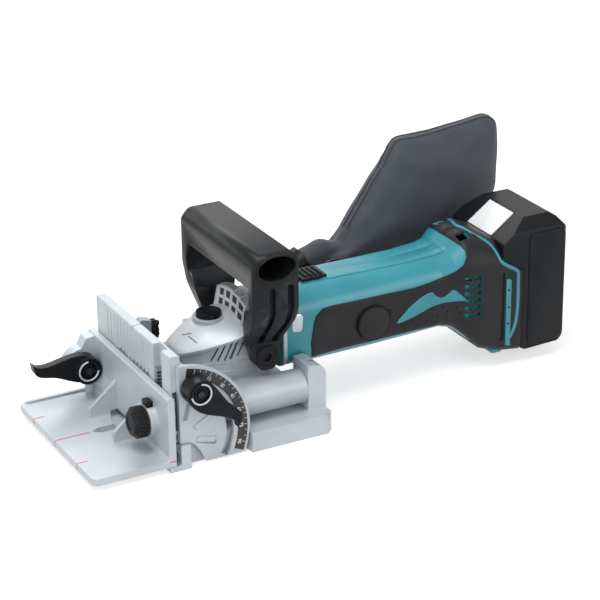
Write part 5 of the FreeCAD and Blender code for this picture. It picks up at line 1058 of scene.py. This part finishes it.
@dataclass
class AirGrille:
    """The cast hood with two rows of air slots, between the gear housing and the motor."""

    columns: tuple[float, ...] = (-18.0, -7.5, 3.0, 13.5)
    rows: tuple[float, ...] = (86.8, 95.2)
    slot_wide: float = 7.0
    slot_high: float = 5.6
    half: float = 24.0
    low: float = 78.0
    top: float = 100.6
    face: float = 81.2
    lean: float = 0.16
    wall: float = 1.6
    crown: float = 0.010

    def build(self) -> None:
        """Make the hood and the near-black sheet behind its slots, which paints the shade inside them."""
        acrosses = self._lines(self.columns, self.slot_wide, -self.half, self.half)
        levels = self._lines(self.rows, self.slot_high, self.low, self.top)
        bm = bmesh.new()
        bmesh.ops.create_grid(bm, x_segments=len(acrosses) - 1, y_segments=len(levels) - 1, size=0.5)
        slots = []
        for face in bm.faces:
            middle = face.calc_center_median()
            column = int((middle.x + 0.5) * (len(acrosses) - 1))
            row = int((middle.y + 0.5) * (len(levels) - 1))
            if column % 2 and row % 2:
                slots.append(face)
        bmesh.ops.delete(bm, geom=slots, context="FACES")
        for vert in bm.verts:
            column = round((vert.co.x + 0.5) * (len(acrosses) - 1))
            row = round((vert.co.y + 0.5) * (len(levels) - 1))
            vert.co = self._place(acrosses[column], levels[row])
        rim = [e for e in bm.edges
               if e.is_boundary and min(v.co.z for v in e.verts) > self._crown(e.verts[0].co.y)]
        made = bmesh.ops.extrude_edge_only(bm, edges=rim)["geom"]
        roof = [v for v in made if isinstance(v, bmesh.types.BMVert)]
        bmesh.ops.translate(bm, verts=roof, vec=(6.0 * MM, 0, 1.4 * MM))
        bmesh.ops.recalc_face_normals(bm, faces=bm.faces)
        bmesh.ops.solidify(bm, geom=list(bm.faces), thickness=self.wall * MM)
        bmesh.ops.recalc_face_normals(bm, faces=bm.faces)
        soften(bm, 0.45, 2, 50)
        finish_mesh("air_grille", bm, CAST, "motor_unit", crease=40)
        # Painted shade: a near-black sheet behind the slots darkens the openings.
        screen = bmesh.new()
        bmesh.ops.create_grid(screen, x_segments=16, y_segments=4, size=0.5)
        for vert in screen.verts:
            across, level = vert.co.x * (self.half - 1.0) * 2, vert.co.y + 0.5
            vert.co = self._place(across, self.low + 1.0 + (self.top - self.low - 2.4) * level)
        bmesh.ops.translate(screen, verts=screen.verts, vec=(0.7 * MM, 0, 0))
        bmesh.ops.solidify(screen, geom=list(screen.faces), thickness=0.2 * MM)
        bmesh.ops.recalc_face_normals(screen, faces=screen.faces)
        finish_mesh("air_grille_shade_sheet", screen, SHADOW_GROOVE, "motor_unit")

    def _crown(self, across: float) -> float:
        """Return the level just under the hood's upper edge, in metres, at a place across it."""
        return (self.top - 1.0) * MM - self.crown / MM * across * across

    def _place(self, across: float, level: float) -> Vector:
        """Return a point of the hood's face.

        Args:
            across: Its place along Y, in millimetres.
            level: Its level, in millimetres, at the middle.

        Returns:
            The point in metres; the face leans back and its upper edge is crowned.
        """
        share = (level - self.low) / (self.top - self.low)
        height = level - self.crown * across * across * share
        return Vector((self.face - self.lean * (self.top - level), across, height)) * MM

    @staticmethod
    def _lines(centres: Sequence[float], size: float, low: float, high: float) -> list[float]:
        """Return the grid lines of a row of slots, with its two ends.

        Args:
            centres: The slots' middles.
            size: The width of each.
            low: The lower end of the row.
            high: Its upper end.

        Returns:
            The lines in rising order.
        """
        inner = [c + side * size / 2 for c in centres for side in (-1, 1)]
        return [low] + sorted(inner) + [high]


@dataclass
class SpringTrim:
    """The return springs, copied into a piece of their own that rides on the base."""

    travel: float = 20.0

    def build(self) -> None:
        """Make the piece."""
        piece = finish_mesh("coil_springs", Skin("return_springs").bm, SPRING, "base", crease=60)
        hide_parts("return_springs")
        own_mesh(piece)


@dataclass
class HandleTrim:
    """The D-handle with its long flutes, the rims of its hollow bar and its bolt eyes."""

    flute: float = 2.9
    sunk: float = 1.2
    flutes: tuple[tuple[Point, ...], ...] = (
        ((85.9, 120.4), (85.9, 106.0), (85.7, 97.0), (83.6, 84.0), (82.9, 74.6)),
        ((101.1, 120.4), (101.1, 106.0), (100.2, 95.0), (96.0, 80.0), (94.8, 72.6)))
    outer_line: tuple[Point, ...] = ((71.2, 43.2), (76.2, 46.2), (91.2, 56.1), (103.2, 59.5))
    bar: tuple[float, float, float, float] = (90.15, 136.6, 16.3, 10.1)
    eye: tuple[float, float, float, float] = (89.5, 59.2, 9.0, 9.0)

    def build(self) -> None:
        """Cut the flutes and lay the rims."""
        self._fluted()
        for label, side in SIDES:
            for name, (x, z, wide, high), across, wire, steps in (("rim", self.bar, 59.6, 0.8, 60),
                                                                  ("eye", self.eye, 43.3, 0.7, 48)):
                turns = [2 * math.pi * step / steps for step in range(steps)]
                ring = [Vector((x + wide * math.cos(a), side * across, z + high * math.sin(a))) * MM
                        for a in turns]
                line_on(f"handle_{name}_{label}", ring, wire, HANDLE, "motor_unit", closed=True)

    def _outer(self, level: float) -> float:
        """Return how far a leg's outer face lies from the middle, in millimetres, at a level."""
        for (z1, y1), (z2, y2) in zip(self.outer_line, self.outer_line[1:]):
            if level <= z2:
                return y1 + (y2 - y1) * max(0.0, level - z1) / (z2 - z1)
        return self.outer_line[-1][1]

    def _fluted(self) -> None:
        """Cut the long flutes into a merged copy of the handle."""
        skin = Skin("side_handle")
        piece = finish_mesh("fluted_handle", skin.bm, HANDLE, "motor_unit", crease=30)
        for side in (-1, 1):
            for line in self.flutes:
                points = spaced([(x, side * (self._outer(z) - self.sunk), z) for x, z in line], 2.0)
                mesh = bpy.data.meshes.new("flute_tool")
                tool = bead(points, self.flute)
                bmesh.ops.recalc_face_normals(tool, faces=tool.faces)
                tool.to_mesh(mesh)
                tool.free()
                cutter = bpy.data.objects.new("flute_tool", mesh)
                bpy.context.scene.collection.objects.link(cutter)
                cut = piece.modifiers.new("flute", "BOOLEAN")
                cut.operation = "DIFFERENCE"
                cut.solver = "EXACT"
                cut.object = cutter
                bpy.context.view_layer.objects.active = piece
                bpy.ops.object.modifier_apply(modifier=cut.name)
                bpy.data.objects.remove(cutter)
                bpy.data.meshes.remove(mesh)
        piece.data.shade_smooth()
        piece.data.set_sharp_from_angle(angle=math.radians(30))
        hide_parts("side_handle")


BLACK_SHELL: tuple[Point, ...] = (
    (134.0, 44.5), (132.8, 56.0), (135.4, 71.8), (137.4, 77.8), (142.7, 82.4), (150.0, 83.2), (167.0, 82.9),
    (194.0, 82.6), (225.0, 81.7), (239.0, 83.4), (253.0, 86.0), (262.0, 88.8), (267.2, 92.8), (270.4, 98.5),
    (271.0, 102.4), (269.8, 105.6), (267.2, 107.8), (263.6, 109.4), (263.6, 135.0), (330.0, 135.0),
    (330.0, 0.0), (290.0, 0.0), (286.0, 16.5), (278.4, 24.2), (272.4, 30.6), (265.2, 38.0), (257.0, 43.4),
    (248.0, 45.4), (225.0, 45.9), (190.0, 46.2), (160.0, 46.4), (146.0, 45.6))
FLAME: tuple[Point, ...] = (
    (208.3, 56.1), (214.6, 62.4), (221.3, 67.5), (232.3, 73.7), (239.5, 75.4), (242.6, 72.6), (245.6, 70.2),
    (249.5, 69.2), (253.4, 71.0), (258.5, 74.3), (263.5, 70.2), (268.4, 64.6), (260.4, 64.5), (250.5, 64.6),
    (239.6, 63.3), (229.0, 59.6), (218.0, 57.0))
INSET_PANEL: tuple[Point, ...] = ((116.6, 70.6), (118.2, 68.8), (123.6, 68.2), (125.2, 69.8), (126.0, 80.2),
                                  (124.4, 82.2), (118.8, 83.4), (117.0, 82.2))
SIDE_STRIP: tuple[Point, ...] = ((303.9, 19.0), (308.3, 18.0), (308.3, 73.8), (307.2, 75.2), (303.9, 76.2))
FRONT_BAND: tuple[Point, ...] = ((96.0, 30.0), (112.4, 30.0), (112.4, 108.0), (96.0, 108.0))
RIDGE: tuple[Point, ...] = ((152.0, -8.5), (160.0, -13.0), (240.0, -14.6), (259.0, -16.0), (259.0, 16.0),
                            (240.0, 14.6), (160.0, 13.0), (152.0, 8.5))


@dataclass
class MotorHousingTrim:
    """Shells, teal inserts, inset plates, dots, rear rims, vent liners and cap covers of the housing."""

    lift: float = 0.8
    dots: tuple[Point, ...] = (
        (216.5, 49.6), (228.1, 49.4), (222.0, 55.3), (230.8, 59.0), (236.5, 51.4), (239.7, 61.0),
        (245.3, 53.8), (250.0, 61.1), (253.5, 56.7), (261.0, 59.5), (264.6, 54.4))
    rim_line: tuple[tuple[float, float, float], ...] = (
        (279.6, 0.3, 112.3), (281.4, 8.4, 112.3), (283.0, 16.5, 111.0), (287.4, 22.4, 108.0),
        (293.0, 26.8, 104.0), (296.2, 31.4, 98.6), (299.0, 35.2, 91.6), (305.0, 36.5, 86.6),
        (312.4, 36.8, 82.0), (314.6, 36.8, 79.0), (315.0, 36.8, 70.0), (315.0, 36.8, 52.0),
        (313.8, 36.8, 38.6), (310.6, 36.7, 28.4), (305.0, 35.8, 20.0), (301.2, 33.0, 14.8))
    liner: tuple[float, float, float, float] = (264.0, 286.0, 45.0, 86.0)
    liner_depths: Point = (32.4, 33.0)
    dot_radius: float = 0.95
    strip_dots: float = 305.9
    strip_dot_levels: tuple[float, ...] = (66.4, 51.5, 37.5)
    rim_wire: float = 1.75
    foot: tuple[Place, Place] = ((294.0, 20.0, 11.4), (304.0, 34.0, 17.6))
    cap_levels: Point = (61.9, 77.3)
    cap_place: float = 0.187
    cap_radius: float = 12.9
    axis_levels: Point = (0.0696, 0.062)
    axis_change: float = 0.26

    def build(self) -> None:
        """Make the pieces of both sides."""
        for label, side in SIDES:
            skin = Skin(f"motor_housing_{label}")
            self._panels(skin, label)
            self._dots(skin, label, side)
            self._rim(label, side)
            self._liner(label, side)
            self._cap(label, side)
            skin.bm.free()

    def _outer(self, face: bmesh.types.BMFace) -> bool:
        """Tell whether a face looks away from the motor's axis and isn't a wall of a hole."""
        middle = face.calc_center_median()
        level = self.axis_levels[0] if middle.x < self.axis_change else self.axis_levels[1]
        away = Vector((0, middle.y, middle.z - level)).normalized()
        return face.normal.dot(away) > 0.45 and abs(face.normal.x) < 0.9

    def _panels(self, skin: Skin, label: str) -> None:
        """Lay the coloured panels on one side.

        Args:
            skin: The housing's surface.
            label: near or far.
        """
        proud = self.lift
        for name, finish, outline, lift, sink, upward, edge in (
                ("grip_shell", GRIP, BLACK_SHELL, proud, 0.3, False, 0.5),
                ("grip_insert", TEAL, curved(FLAME, 3), proud + 0.5, -0.4, False, 0.4),
                ("front_inset", INSET, INSET_PANEL, 0.5, 0.3, False, 0.3),
                ("rear_strip", TEAL, SIDE_STRIP, proud + 0.8, -0.4, False, 0.3),
                ("front_band", PLATE, FRONT_BAND, 0.5, 0.3, False, 0.3),
                ("top_ridge", TEAL, RIDGE, 0.7, 0.3, True, 0.5)):
            panel = skin.patch(outline, self._outer, lift, sink=sink, upward=upward, edge=edge)
            finish_mesh(f"{name}_{label}", panel, finish, "motor_unit", crease=45)

    def _dots(self, skin: Skin, label: str, side: int) -> None:
        """Set the small raised dots in the lower grip.

        Args:
            skin: The housing's surface.
            label: near or far.
            side: -1 or 1.
        """
        bm = bmesh.new()
        places = [(x, z, self.lift) for x, z in self.dots]
        places += [(self.strip_dots, z, self.lift + 0.8) for z in self.strip_dot_levels]
        for x, z, lift in places:
            point, normal = skin.side_point(x, z, side)
            place = Matrix.Translation(point + normal * lift * MM)
            place = place @ normal.to_track_quat("Z", "Y").to_matrix().to_4x4()
            made = bmesh.ops.create_uvsphere(bm, u_segments=12, v_segments=8, radius=self.dot_radius * MM)
            bmesh.ops.scale(bm, vec=(1, 1, 0.6), verts=made["verts"])
            bmesh.ops.transform(bm, matrix=place, verts=made["verts"])
        finish_mesh(f"grip_dots_{label}", bm, BLACK, "motor_unit")

    def _rim(self, label: str, side: int) -> None:
        """Run the teal rim along the housing's rear edge, beside the battery, down to its foot.

        Args:
            label: near or far.
            side: -1 or 1.
        """
        line = spaced([(x, side * y, z) for x, y, z in self.rim_line])
        line_on(f"rear_rim_{label}", line, self.rim_wire, TEAL, "motor_unit")
        bm = bmesh.new()
        (x1, y1, z1), (x2, y2, z2) = self.foot
        slab(bm, (x1, side * y1, z1), (x2, side * y2, z2))
        soften(bm, 1.8, 3)
        finish_mesh(f"rear_foot_{label}", bm, TEAL, "motor_unit")

    def _liner(self, label: str, side: int) -> None:
        """Stand a teal sheet behind the air vents, inside the wall.

        Args:
            label: near or far.
            side: -1 or 1.
        """
        x1, x2, z1, z2 = self.liner
        bm = bmesh.new()
        slab(bm, (x1, side * self.liner_depths[0], z1), (x2, side * self.liner_depths[1], z2))
        finish_mesh(f"vent_liner_{label}", bm, TEAL, "motor_unit")

    def _cap(self, label: str, side: int) -> None:
        """Cover the brush cap's slot with a smooth disc, and set the latch beside it.

        Args:
            label: near or far.
            side: -1 or 1.
        """
        cap_low, cap_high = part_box("brush_caps")
        level = self.cap_levels[0] if side < 0 else self.cap_levels[1]
        face = cap_low.y if side < 0 else cap_high.y
        bm = bmesh.new()
        middle = Vector((self.cap_place, face + side * 0.0002, level * MM))
        disc(bm, middle, Vector((0, side, 0)), self.cap_radius, 1.2, 48)
        soften(bm, 0.4, 2, 50)
        finish_mesh(f"cap_cover_{label}", bm, GRIP, "motor_unit")
        bm = bmesh.new()
        slab(bm, (199.0, side * 30.0, level - 2.2), (202.6, side * 32.6, level + 6.8))
        slab(bm, (197.2, side * 30.0, level - 2.6), (200.0, side * 32.6, level - 0.4))
        soften(bm, 0.5, 2)
        finish_mesh(f"cap_latch_{label}", bm, BLACK, "motor_unit")


@dataclass
class BatteryTrim:
    """Raised panels on the battery's sides and the seams in front of them, drawn as near-black lines of painted shade.
    """

    panel: tuple[float, float, float, float] = (324.6, 358.4, 15.0, 109.0)
    corner: float = 5.0
    proud: float = 0.9
    seam: float = 322.6
    seam_levels: tuple[float, ...] = (14.0, 60.0, 86.0)

    def build(self) -> None:
        """Make the pieces."""
        low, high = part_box("battery_case")
        x1, x2, z1, z2 = self.panel
        for label, side, face in (("near", -1, low.y / MM), ("far", 1, high.y / MM)):
            bm = bmesh.new()
            slab(bm, (x1, face - side * 0.6, z1), (x2, face + side * self.proud, z2))
            round_upright(bm, self.corner, 5)
            soften(bm, 0.6, 3, 50)
            bmesh.ops.recalc_face_normals(bm, faces=bm.faces)
            finish_mesh(f"battery_panel_{label}", bm, BATTERY, "battery", crease=50)
            # Painted shade: the seam is a near-black bead along the side.
            line = spaced([(self.seam, face - side * 0.1, level) for level in self.seam_levels], 8.0)
            line_on(f"battery_seam_{label}", line, 0.4, SHADOW_GROOVE, "battery")


@dataclass
class DustBag:
    """The cloth dust bag: two sewn panels with a narrow edge strip, a neck, folds and piping."""

    outline: tuple[Point, ...] = (
        (185.4, 64.0), (186.6, 71.0), (226.0, 119.0), (264.8, 167.0), (268.6, 168.6), (284.8, 168.2),
        (300.1, 168.6), (325.3, 170.4), (353.0, 172.4), (358.2, 170.8), (363.0, 164.4), (364.4, 141.0),
        (363.4, 125.0), (363.2, 107.0), (352.0, 90.0), (300.0, 71.0), (240.0, 61.0), (195.0, 58.0))
    centre: tuple[float, float] = (292.0, 116.0)
    edge: float = 5.0
    swell: tuple[Point, ...] = ((5.0, 0.93), (4.2, 0.86), (2.8, 0.76))
    folds: tuple[tuple[float, float, float, float, float, float], ...] = (
        (268.0, 164.0, 300.0, 146.0, 2.6, 7.0), (272.0, 160.0, 330.0, 156.0, 2.0, 8.0),
        (356.0, 163.0, 318.0, 132.0, 2.4, 8.0), (350.0, 166.0, 306.0, 158.0, 1.8, 6.0),
        (190.0, 72.0, 262.0, 118.0, 2.2, 8.0), (196.0, 66.0, 300.0, 96.0, 1.8, 9.0),
        (358.0, 112.0, 312.0, 110.0, 2.2, 9.0))
    voxel: float = 4.5
    frames: int = 18
    pressure: float = 3.2
    cap: float = 8.0
    neck_end: float = 203.0
    neck_slope: float = 27.0
    neck_radii: Point = (11.6, 8.6)
    neck_length: float = 26.0
    piping: float = 0.95
    piping_apart: float = 2.9

    def build(self) -> None:
        """Make the bag and its piping."""
        cloth = self._cushion()
        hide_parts("dust_bag")
        self._piping(cloth)

    @staticmethod
    def _side() -> float:
        """Return the bag's middle plane along Y, in metres."""
        low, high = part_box("dust_bag")
        return (low.y + high.y) / 2

    def _pattern(self) -> bmesh.types.BMesh:
        """Sew the plain closed shape that the cloth starts from.

        Returns:
            Two panels swelled in steps, with the neck that reaches into the ring.
        """
        side = self._side()
        bm = bmesh.new()
        corners = [bm.verts.new((x * MM, side - self.edge / 2 * MM, z * MM)) for x, z in self.outline]
        near = bm.faces.new(corners)
        made = bmesh.ops.extrude_face_region(bm, geom=[near], use_keep_orig=True)["geom"]
        moved = [v for v in made if isinstance(v, bmesh.types.BMVert)]
        bmesh.ops.translate(bm, verts=moved, vec=(0, self.edge * MM, 0))
        bmesh.ops.recalc_face_normals(bm, faces=bm.faces)
        middle = Vector((self.centre[0] * MM, side, self.centre[1] * MM))
        for panel in [f for f in bm.faces if len(f.verts) == len(self.outline)]:
            away = 1 if panel.normal.y > 0 else -1
            for outward, share in self.swell:
                panel = bmesh.ops.extrude_discrete_faces(bm, faces=[panel])["faces"][0]
                bmesh.ops.translate(bm, verts=panel.verts, vec=(0, away * outward * MM, 0))
                bmesh.ops.scale(bm, verts=panel.verts, vec=(share, 1, share),
                                space=Matrix.Translation(-middle))
        low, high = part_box("bag_ring")
        ring = (low + high) / 2
        slope = math.radians(self.neck_slope)
        along = Vector((math.cos(slope), 0, math.sin(slope)))
        start = ring + along * 6.0 * MM
        turn = along.to_track_quat("Z", "Y").to_matrix().to_4x4()
        bmesh.ops.create_cone(bm, cap_ends=True, segments=28, radius1=self.neck_radii[0] * MM,
                              radius2=self.neck_radii[1] * MM, depth=self.neck_length * MM,
                              matrix=Matrix.Translation(start + along * self.neck_length / 2 * MM) @ turn)
        return bm

    def _cushion(self) -> bpy.types.Object:
        """Blow the sewn shape up as cloth and fold it.

        Returns:
            The bag.
        """
        piece = finish_mesh("cloth_bag", self._pattern(), CLOTH, "bag", crease=180)
        piece.parent = None
        bpy.context.view_layer.objects.active = piece
        piece.select_set(True)
        remesh = piece.modifiers.new("even", "REMESH")
        remesh.mode = "VOXEL"
        remesh.voxel_size = self.voxel * MM
        bpy.ops.object.modifier_apply(modifier=remesh.name)
        rest = [v.co.copy() for v in piece.data.vertices]
        self._inflate(piece, rest)
        self._fold(piece)
        smooth = piece.modifiers.new("smooth", "SUBSURF")
        smooth.levels = 1
        smooth.render_levels = 1
        piece.data.shade_smooth()
        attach(piece, "bag")
        return piece

    def _fold(self, piece: bpy.types.Object) -> None:
        """Press the soft creases that run in from the corners, and ripple the cloth a little.

        Args:
            piece: The swelled bag.
        """
        side = self._side()
        for vert in piece.data.vertices:
            spot = Vector((vert.co.x / MM, vert.co.z / MM))
            inward = (vert.co.y - side) / (12.0 * MM)
            push = 0.0
            for x1, z1, x2, z2, depth, width in self.folds:
                start, span = Vector((x1, z1)), Vector((x2 - x1, z2 - z1))
                share = max(0.0, min(1.0, (spot - start).dot(span) / span.length_squared))
                away = (spot - start - span * share).length
                push += depth * math.sin(math.pi * (0.15 + 0.85 * share)) * math.exp(-(away / width) ** 2)
            ripple = 0.7 * math.sin(spot.x * 0.11 + spot.y * 0.05) * math.sin(spot.y * 0.13 - spot.x * 0.03)
            vert.co.y -= max(-1.0, min(1.0, inward)) * (push + ripple) * MM

    def _inflate(self, piece: bpy.types.Object, rest: list[Vector]) -> None:
        """Run the cloth simulation and keep its result within the cap.

        Args:
            piece: The remeshed bag.
            rest: Its vertices before the simulation.
        """
        cloth = piece.modifiers.new("cloth", "CLOTH")
        cloth.settings.use_pressure = True
        cloth.settings.uniform_pressure_force = self.pressure
        cloth.settings.quality = 5
        cloth.settings.mass = 0.2
        cloth.settings.bending_stiffness = 0.3
        cloth.settings.effector_weights.gravity = 0.0
        cloth.point_cache.frame_end = self.frames
        for step in range(1, self.frames + 1):
            bpy.context.scene.frame_set(step)
        shaped = piece.evaluated_get(bpy.context.evaluated_depsgraph_get()).to_mesh()
        moved = [v.co.copy() for v in shaped.vertices]
        piece.modifiers.remove(cloth)
        bpy.context.scene.frame_set(1)
        for vert, start, end in zip(piece.data.vertices, rest, moved):
            step = end - start
            if step.length > self.cap * MM:
                step = step.normalized() * self.cap * MM
            vert.co = start if start.x < self.neck_end * MM else start + step

    def _piping(self, cloth: bpy.types.Object) -> None:
        """Sew a cord of piping round each face panel.

        Args:
            cloth: The finished bag.
        """
        shaped = cloth.evaluated_get(bpy.context.evaluated_depsgraph_get())
        tree = BVHTree.FromObject(shaped, bpy.context.evaluated_depsgraph_get())
        for label, side in SIDES:
            offset = side * self.piping_apart
            middle = Vector((self.centre[0] * MM, self._side() + offset * MM, self.centre[1] * MM))
            points = []
            for step in range(180):
                angle = 2 * math.pi * step / 180
                direction = Vector((math.cos(angle), 0, math.sin(angle)))
                point, _, _, _ = tree.ray_cast(middle + direction * 0.3, -direction)
                if point is not None and point.x > 0.196:
                    points.append((angle, point))
            gap = max(range(len(points)), key=lambda i: (points[i][0] - points[i - 1][0]) % (2 * math.pi))
            route = [point for _, point in points[gap:] + points[:gap]]
            line_on(f"bag_piping_{label}", route, self.piping, PIPING, "bag")


@dataclass
class Studio:
    """Floor, world, lamps and camera."""

    camera_place: tuple[float, float, float] = (-0.58749, -1.36912, 0.75220)
    azimuth: float = -27.99
    elevation: float = 23.475
    roll: float = -0.64
    lens: float = 132.53
    aim: tuple[float, float, float] = (0.14, 0.0, 0.06)
    lamps: tuple[tuple[str, tuple[float, float, float], float], ...] = (
        ("key", (-0.35, -0.30, 1.45), 14.0), ("fill", (0.95, -1.35, 0.65), 5.0),
        ("back", (0.3, 1.2, 1.1), 6.0), ("front", (-1.25, -0.75, 0.55), 5.0))
    lamp_size: float = 0.8

    def build(self) -> None:
        """Set up the studio."""
        self._floor()
        self._world()
        for name, place, watts in self.lamps:
            self._lamp(name, place, watts)
        self._camera()

    @staticmethod
    def _floor() -> None:
        """Lay a pale floor that shows white to the camera and keeps the shadow."""
        bm = bmesh.new()
        bmesh.ops.create_grid(bm, x_segments=1, y_segments=1, size=6.0)
        bmesh.ops.translate(bm, vec=(0, 0, -0.0004), verts=bm.verts)
        mesh = bpy.data.meshes.new("floor")
        bm.to_mesh(mesh)
        bm.free()
        floor = bpy.data.objects.new("floor", mesh)
        bpy.context.scene.collection.objects.link(floor)
        made = bpy.data.materials.new("pale_floor")
        made.use_nodes = True
        tree = made.node_tree
        tree.nodes.clear()
        out = tree.nodes.new("ShaderNodeOutputMaterial")
        matt = tree.nodes.new("ShaderNodeBsdfDiffuse")
        matt.inputs["Color"].default_value = (0.62, 0.62, 0.62, 1)
        glow = tree.nodes.new("ShaderNodeEmission")
        glow.inputs["Color"].default_value = (1, 1, 1, 1)
        seen = Studio._seen(tree)
        strength = tree.nodes.new("ShaderNodeMath")
        strength.operation = "MULTIPLY"
        strength.inputs[1].default_value = 0.62
        tree.links.new(seen, strength.inputs[0])
        tree.links.new(strength.outputs[0], glow.inputs["Strength"])
        both = tree.nodes.new("ShaderNodeAddShader")
        tree.links.new(matt.outputs[0], both.inputs[0])
        tree.links.new(glow.outputs[0], both.inputs[1])
        tree.links.new(both.outputs[0], out.inputs["Surface"])
        mesh.materials.append(made)

    @staticmethod
    def _seen(tree: bpy.types.NodeTree) -> bpy.types.NodeSocket:
        """Return one where a camera, mirror or glass ray looks, and zero for light that bounces.

        Args:
            tree: The nodes to add to.

        Returns:
            The factor.
        """
        path = tree.nodes.new("ShaderNodeLightPath")
        total = path.outputs["Is Camera Ray"]
        for name in ("Is Glossy Ray", "Is Transmission Ray"):
            total = combined(tree, "MAXIMUM", total, path.outputs[name])
        return total

    @staticmethod
    def _world() -> None:
        """Light the scene softly from all round and show white behind it."""
        world = bpy.data.worlds.new("soft_room")
        bpy.context.scene.world = world
        world.use_nodes = True
        tree = world.node_tree
        back = tree.nodes["Background"]
        back.inputs["Color"].default_value = (1, 1, 1, 1)
        level = tree.nodes.new("ShaderNodeMapRange")
        level.inputs["To Min"].default_value = 0.42
        level.inputs["To Max"].default_value = 1.0
        tree.links.new(Studio._seen(tree), level.inputs["Value"])
        tree.links.new(level.outputs["Result"], back.inputs["Strength"])

    def _lamp(self, name: str, place: tuple[float, float, float], watts: float) -> None:
        """Hang a square soft lamp that points at the tool.

        Args:
            name: The lamp's name.
            place: Where it hangs, in metres.
            watts: Its power.
        """
        light = bpy.data.lights.new(name, "AREA")
        light.energy = watts
        light.size = self.lamp_size
        lamp = bpy.data.objects.new(name, light)
        lamp.location = place
        aim = Vector(self.aim) - Vector(place)
        lamp.rotation_mode = "QUATERNION"
        lamp.rotation_quaternion = aim.to_track_quat("-Z", "Y")
        bpy.context.scene.collection.objects.link(lamp)

    def _camera(self) -> None:
        """Stand the camera at the tool's front left, looking down."""
        azimuth, elevation, roll = (math.radians(a) for a in (self.azimuth, self.elevation, self.roll))
        back = Vector((math.sin(azimuth) * math.cos(elevation), -math.cos(azimuth) * math.cos(elevation),
                       math.sin(elevation)))
        right = (-back).cross(Vector((0, 0, 1))).normalized()
        up = right.cross(-back)
        turned = right * math.cos(roll) + up * math.sin(roll)
        upright = up * math.cos(roll) - right * math.sin(roll)
        lens = bpy.data.cameras.new("camera")
        lens.lens = self.lens
        lens.sensor_width = 36.0
        lens.clip_start = 0.05
        lens.clip_end = 50.0
        camera = bpy.data.objects.new("camera", lens)
        camera.matrix_world = Matrix.Translation(self.camera_place) \
            @ Matrix((turned, upright, back)).transposed().to_4x4()
        bpy.context.scene.collection.objects.link(camera)
        bpy.context.scene.camera = camera


def main() -> None:
    """Build the studio and every sub-assembly in order."""
    logging.basicConfig(level=logging.INFO, format="%(name)s: %(message)s")
    bpy.context.scene.view_settings.view_transform = "Standard"
    for assembly in (Studio(), FenceTrim(), GuideTrim(), QuadrantTrim(), LeverTrim(), SpringTrim(),
                     HousingTrim(), AirGrille(), HandleTrim(), MotorHousingTrim(), BatteryTrim(), DustBag()):
        assembly.build()
        log.info("%s done", type(assembly).__name__)
    CastParts().dress()


if __name__ == "__main__":
    main()
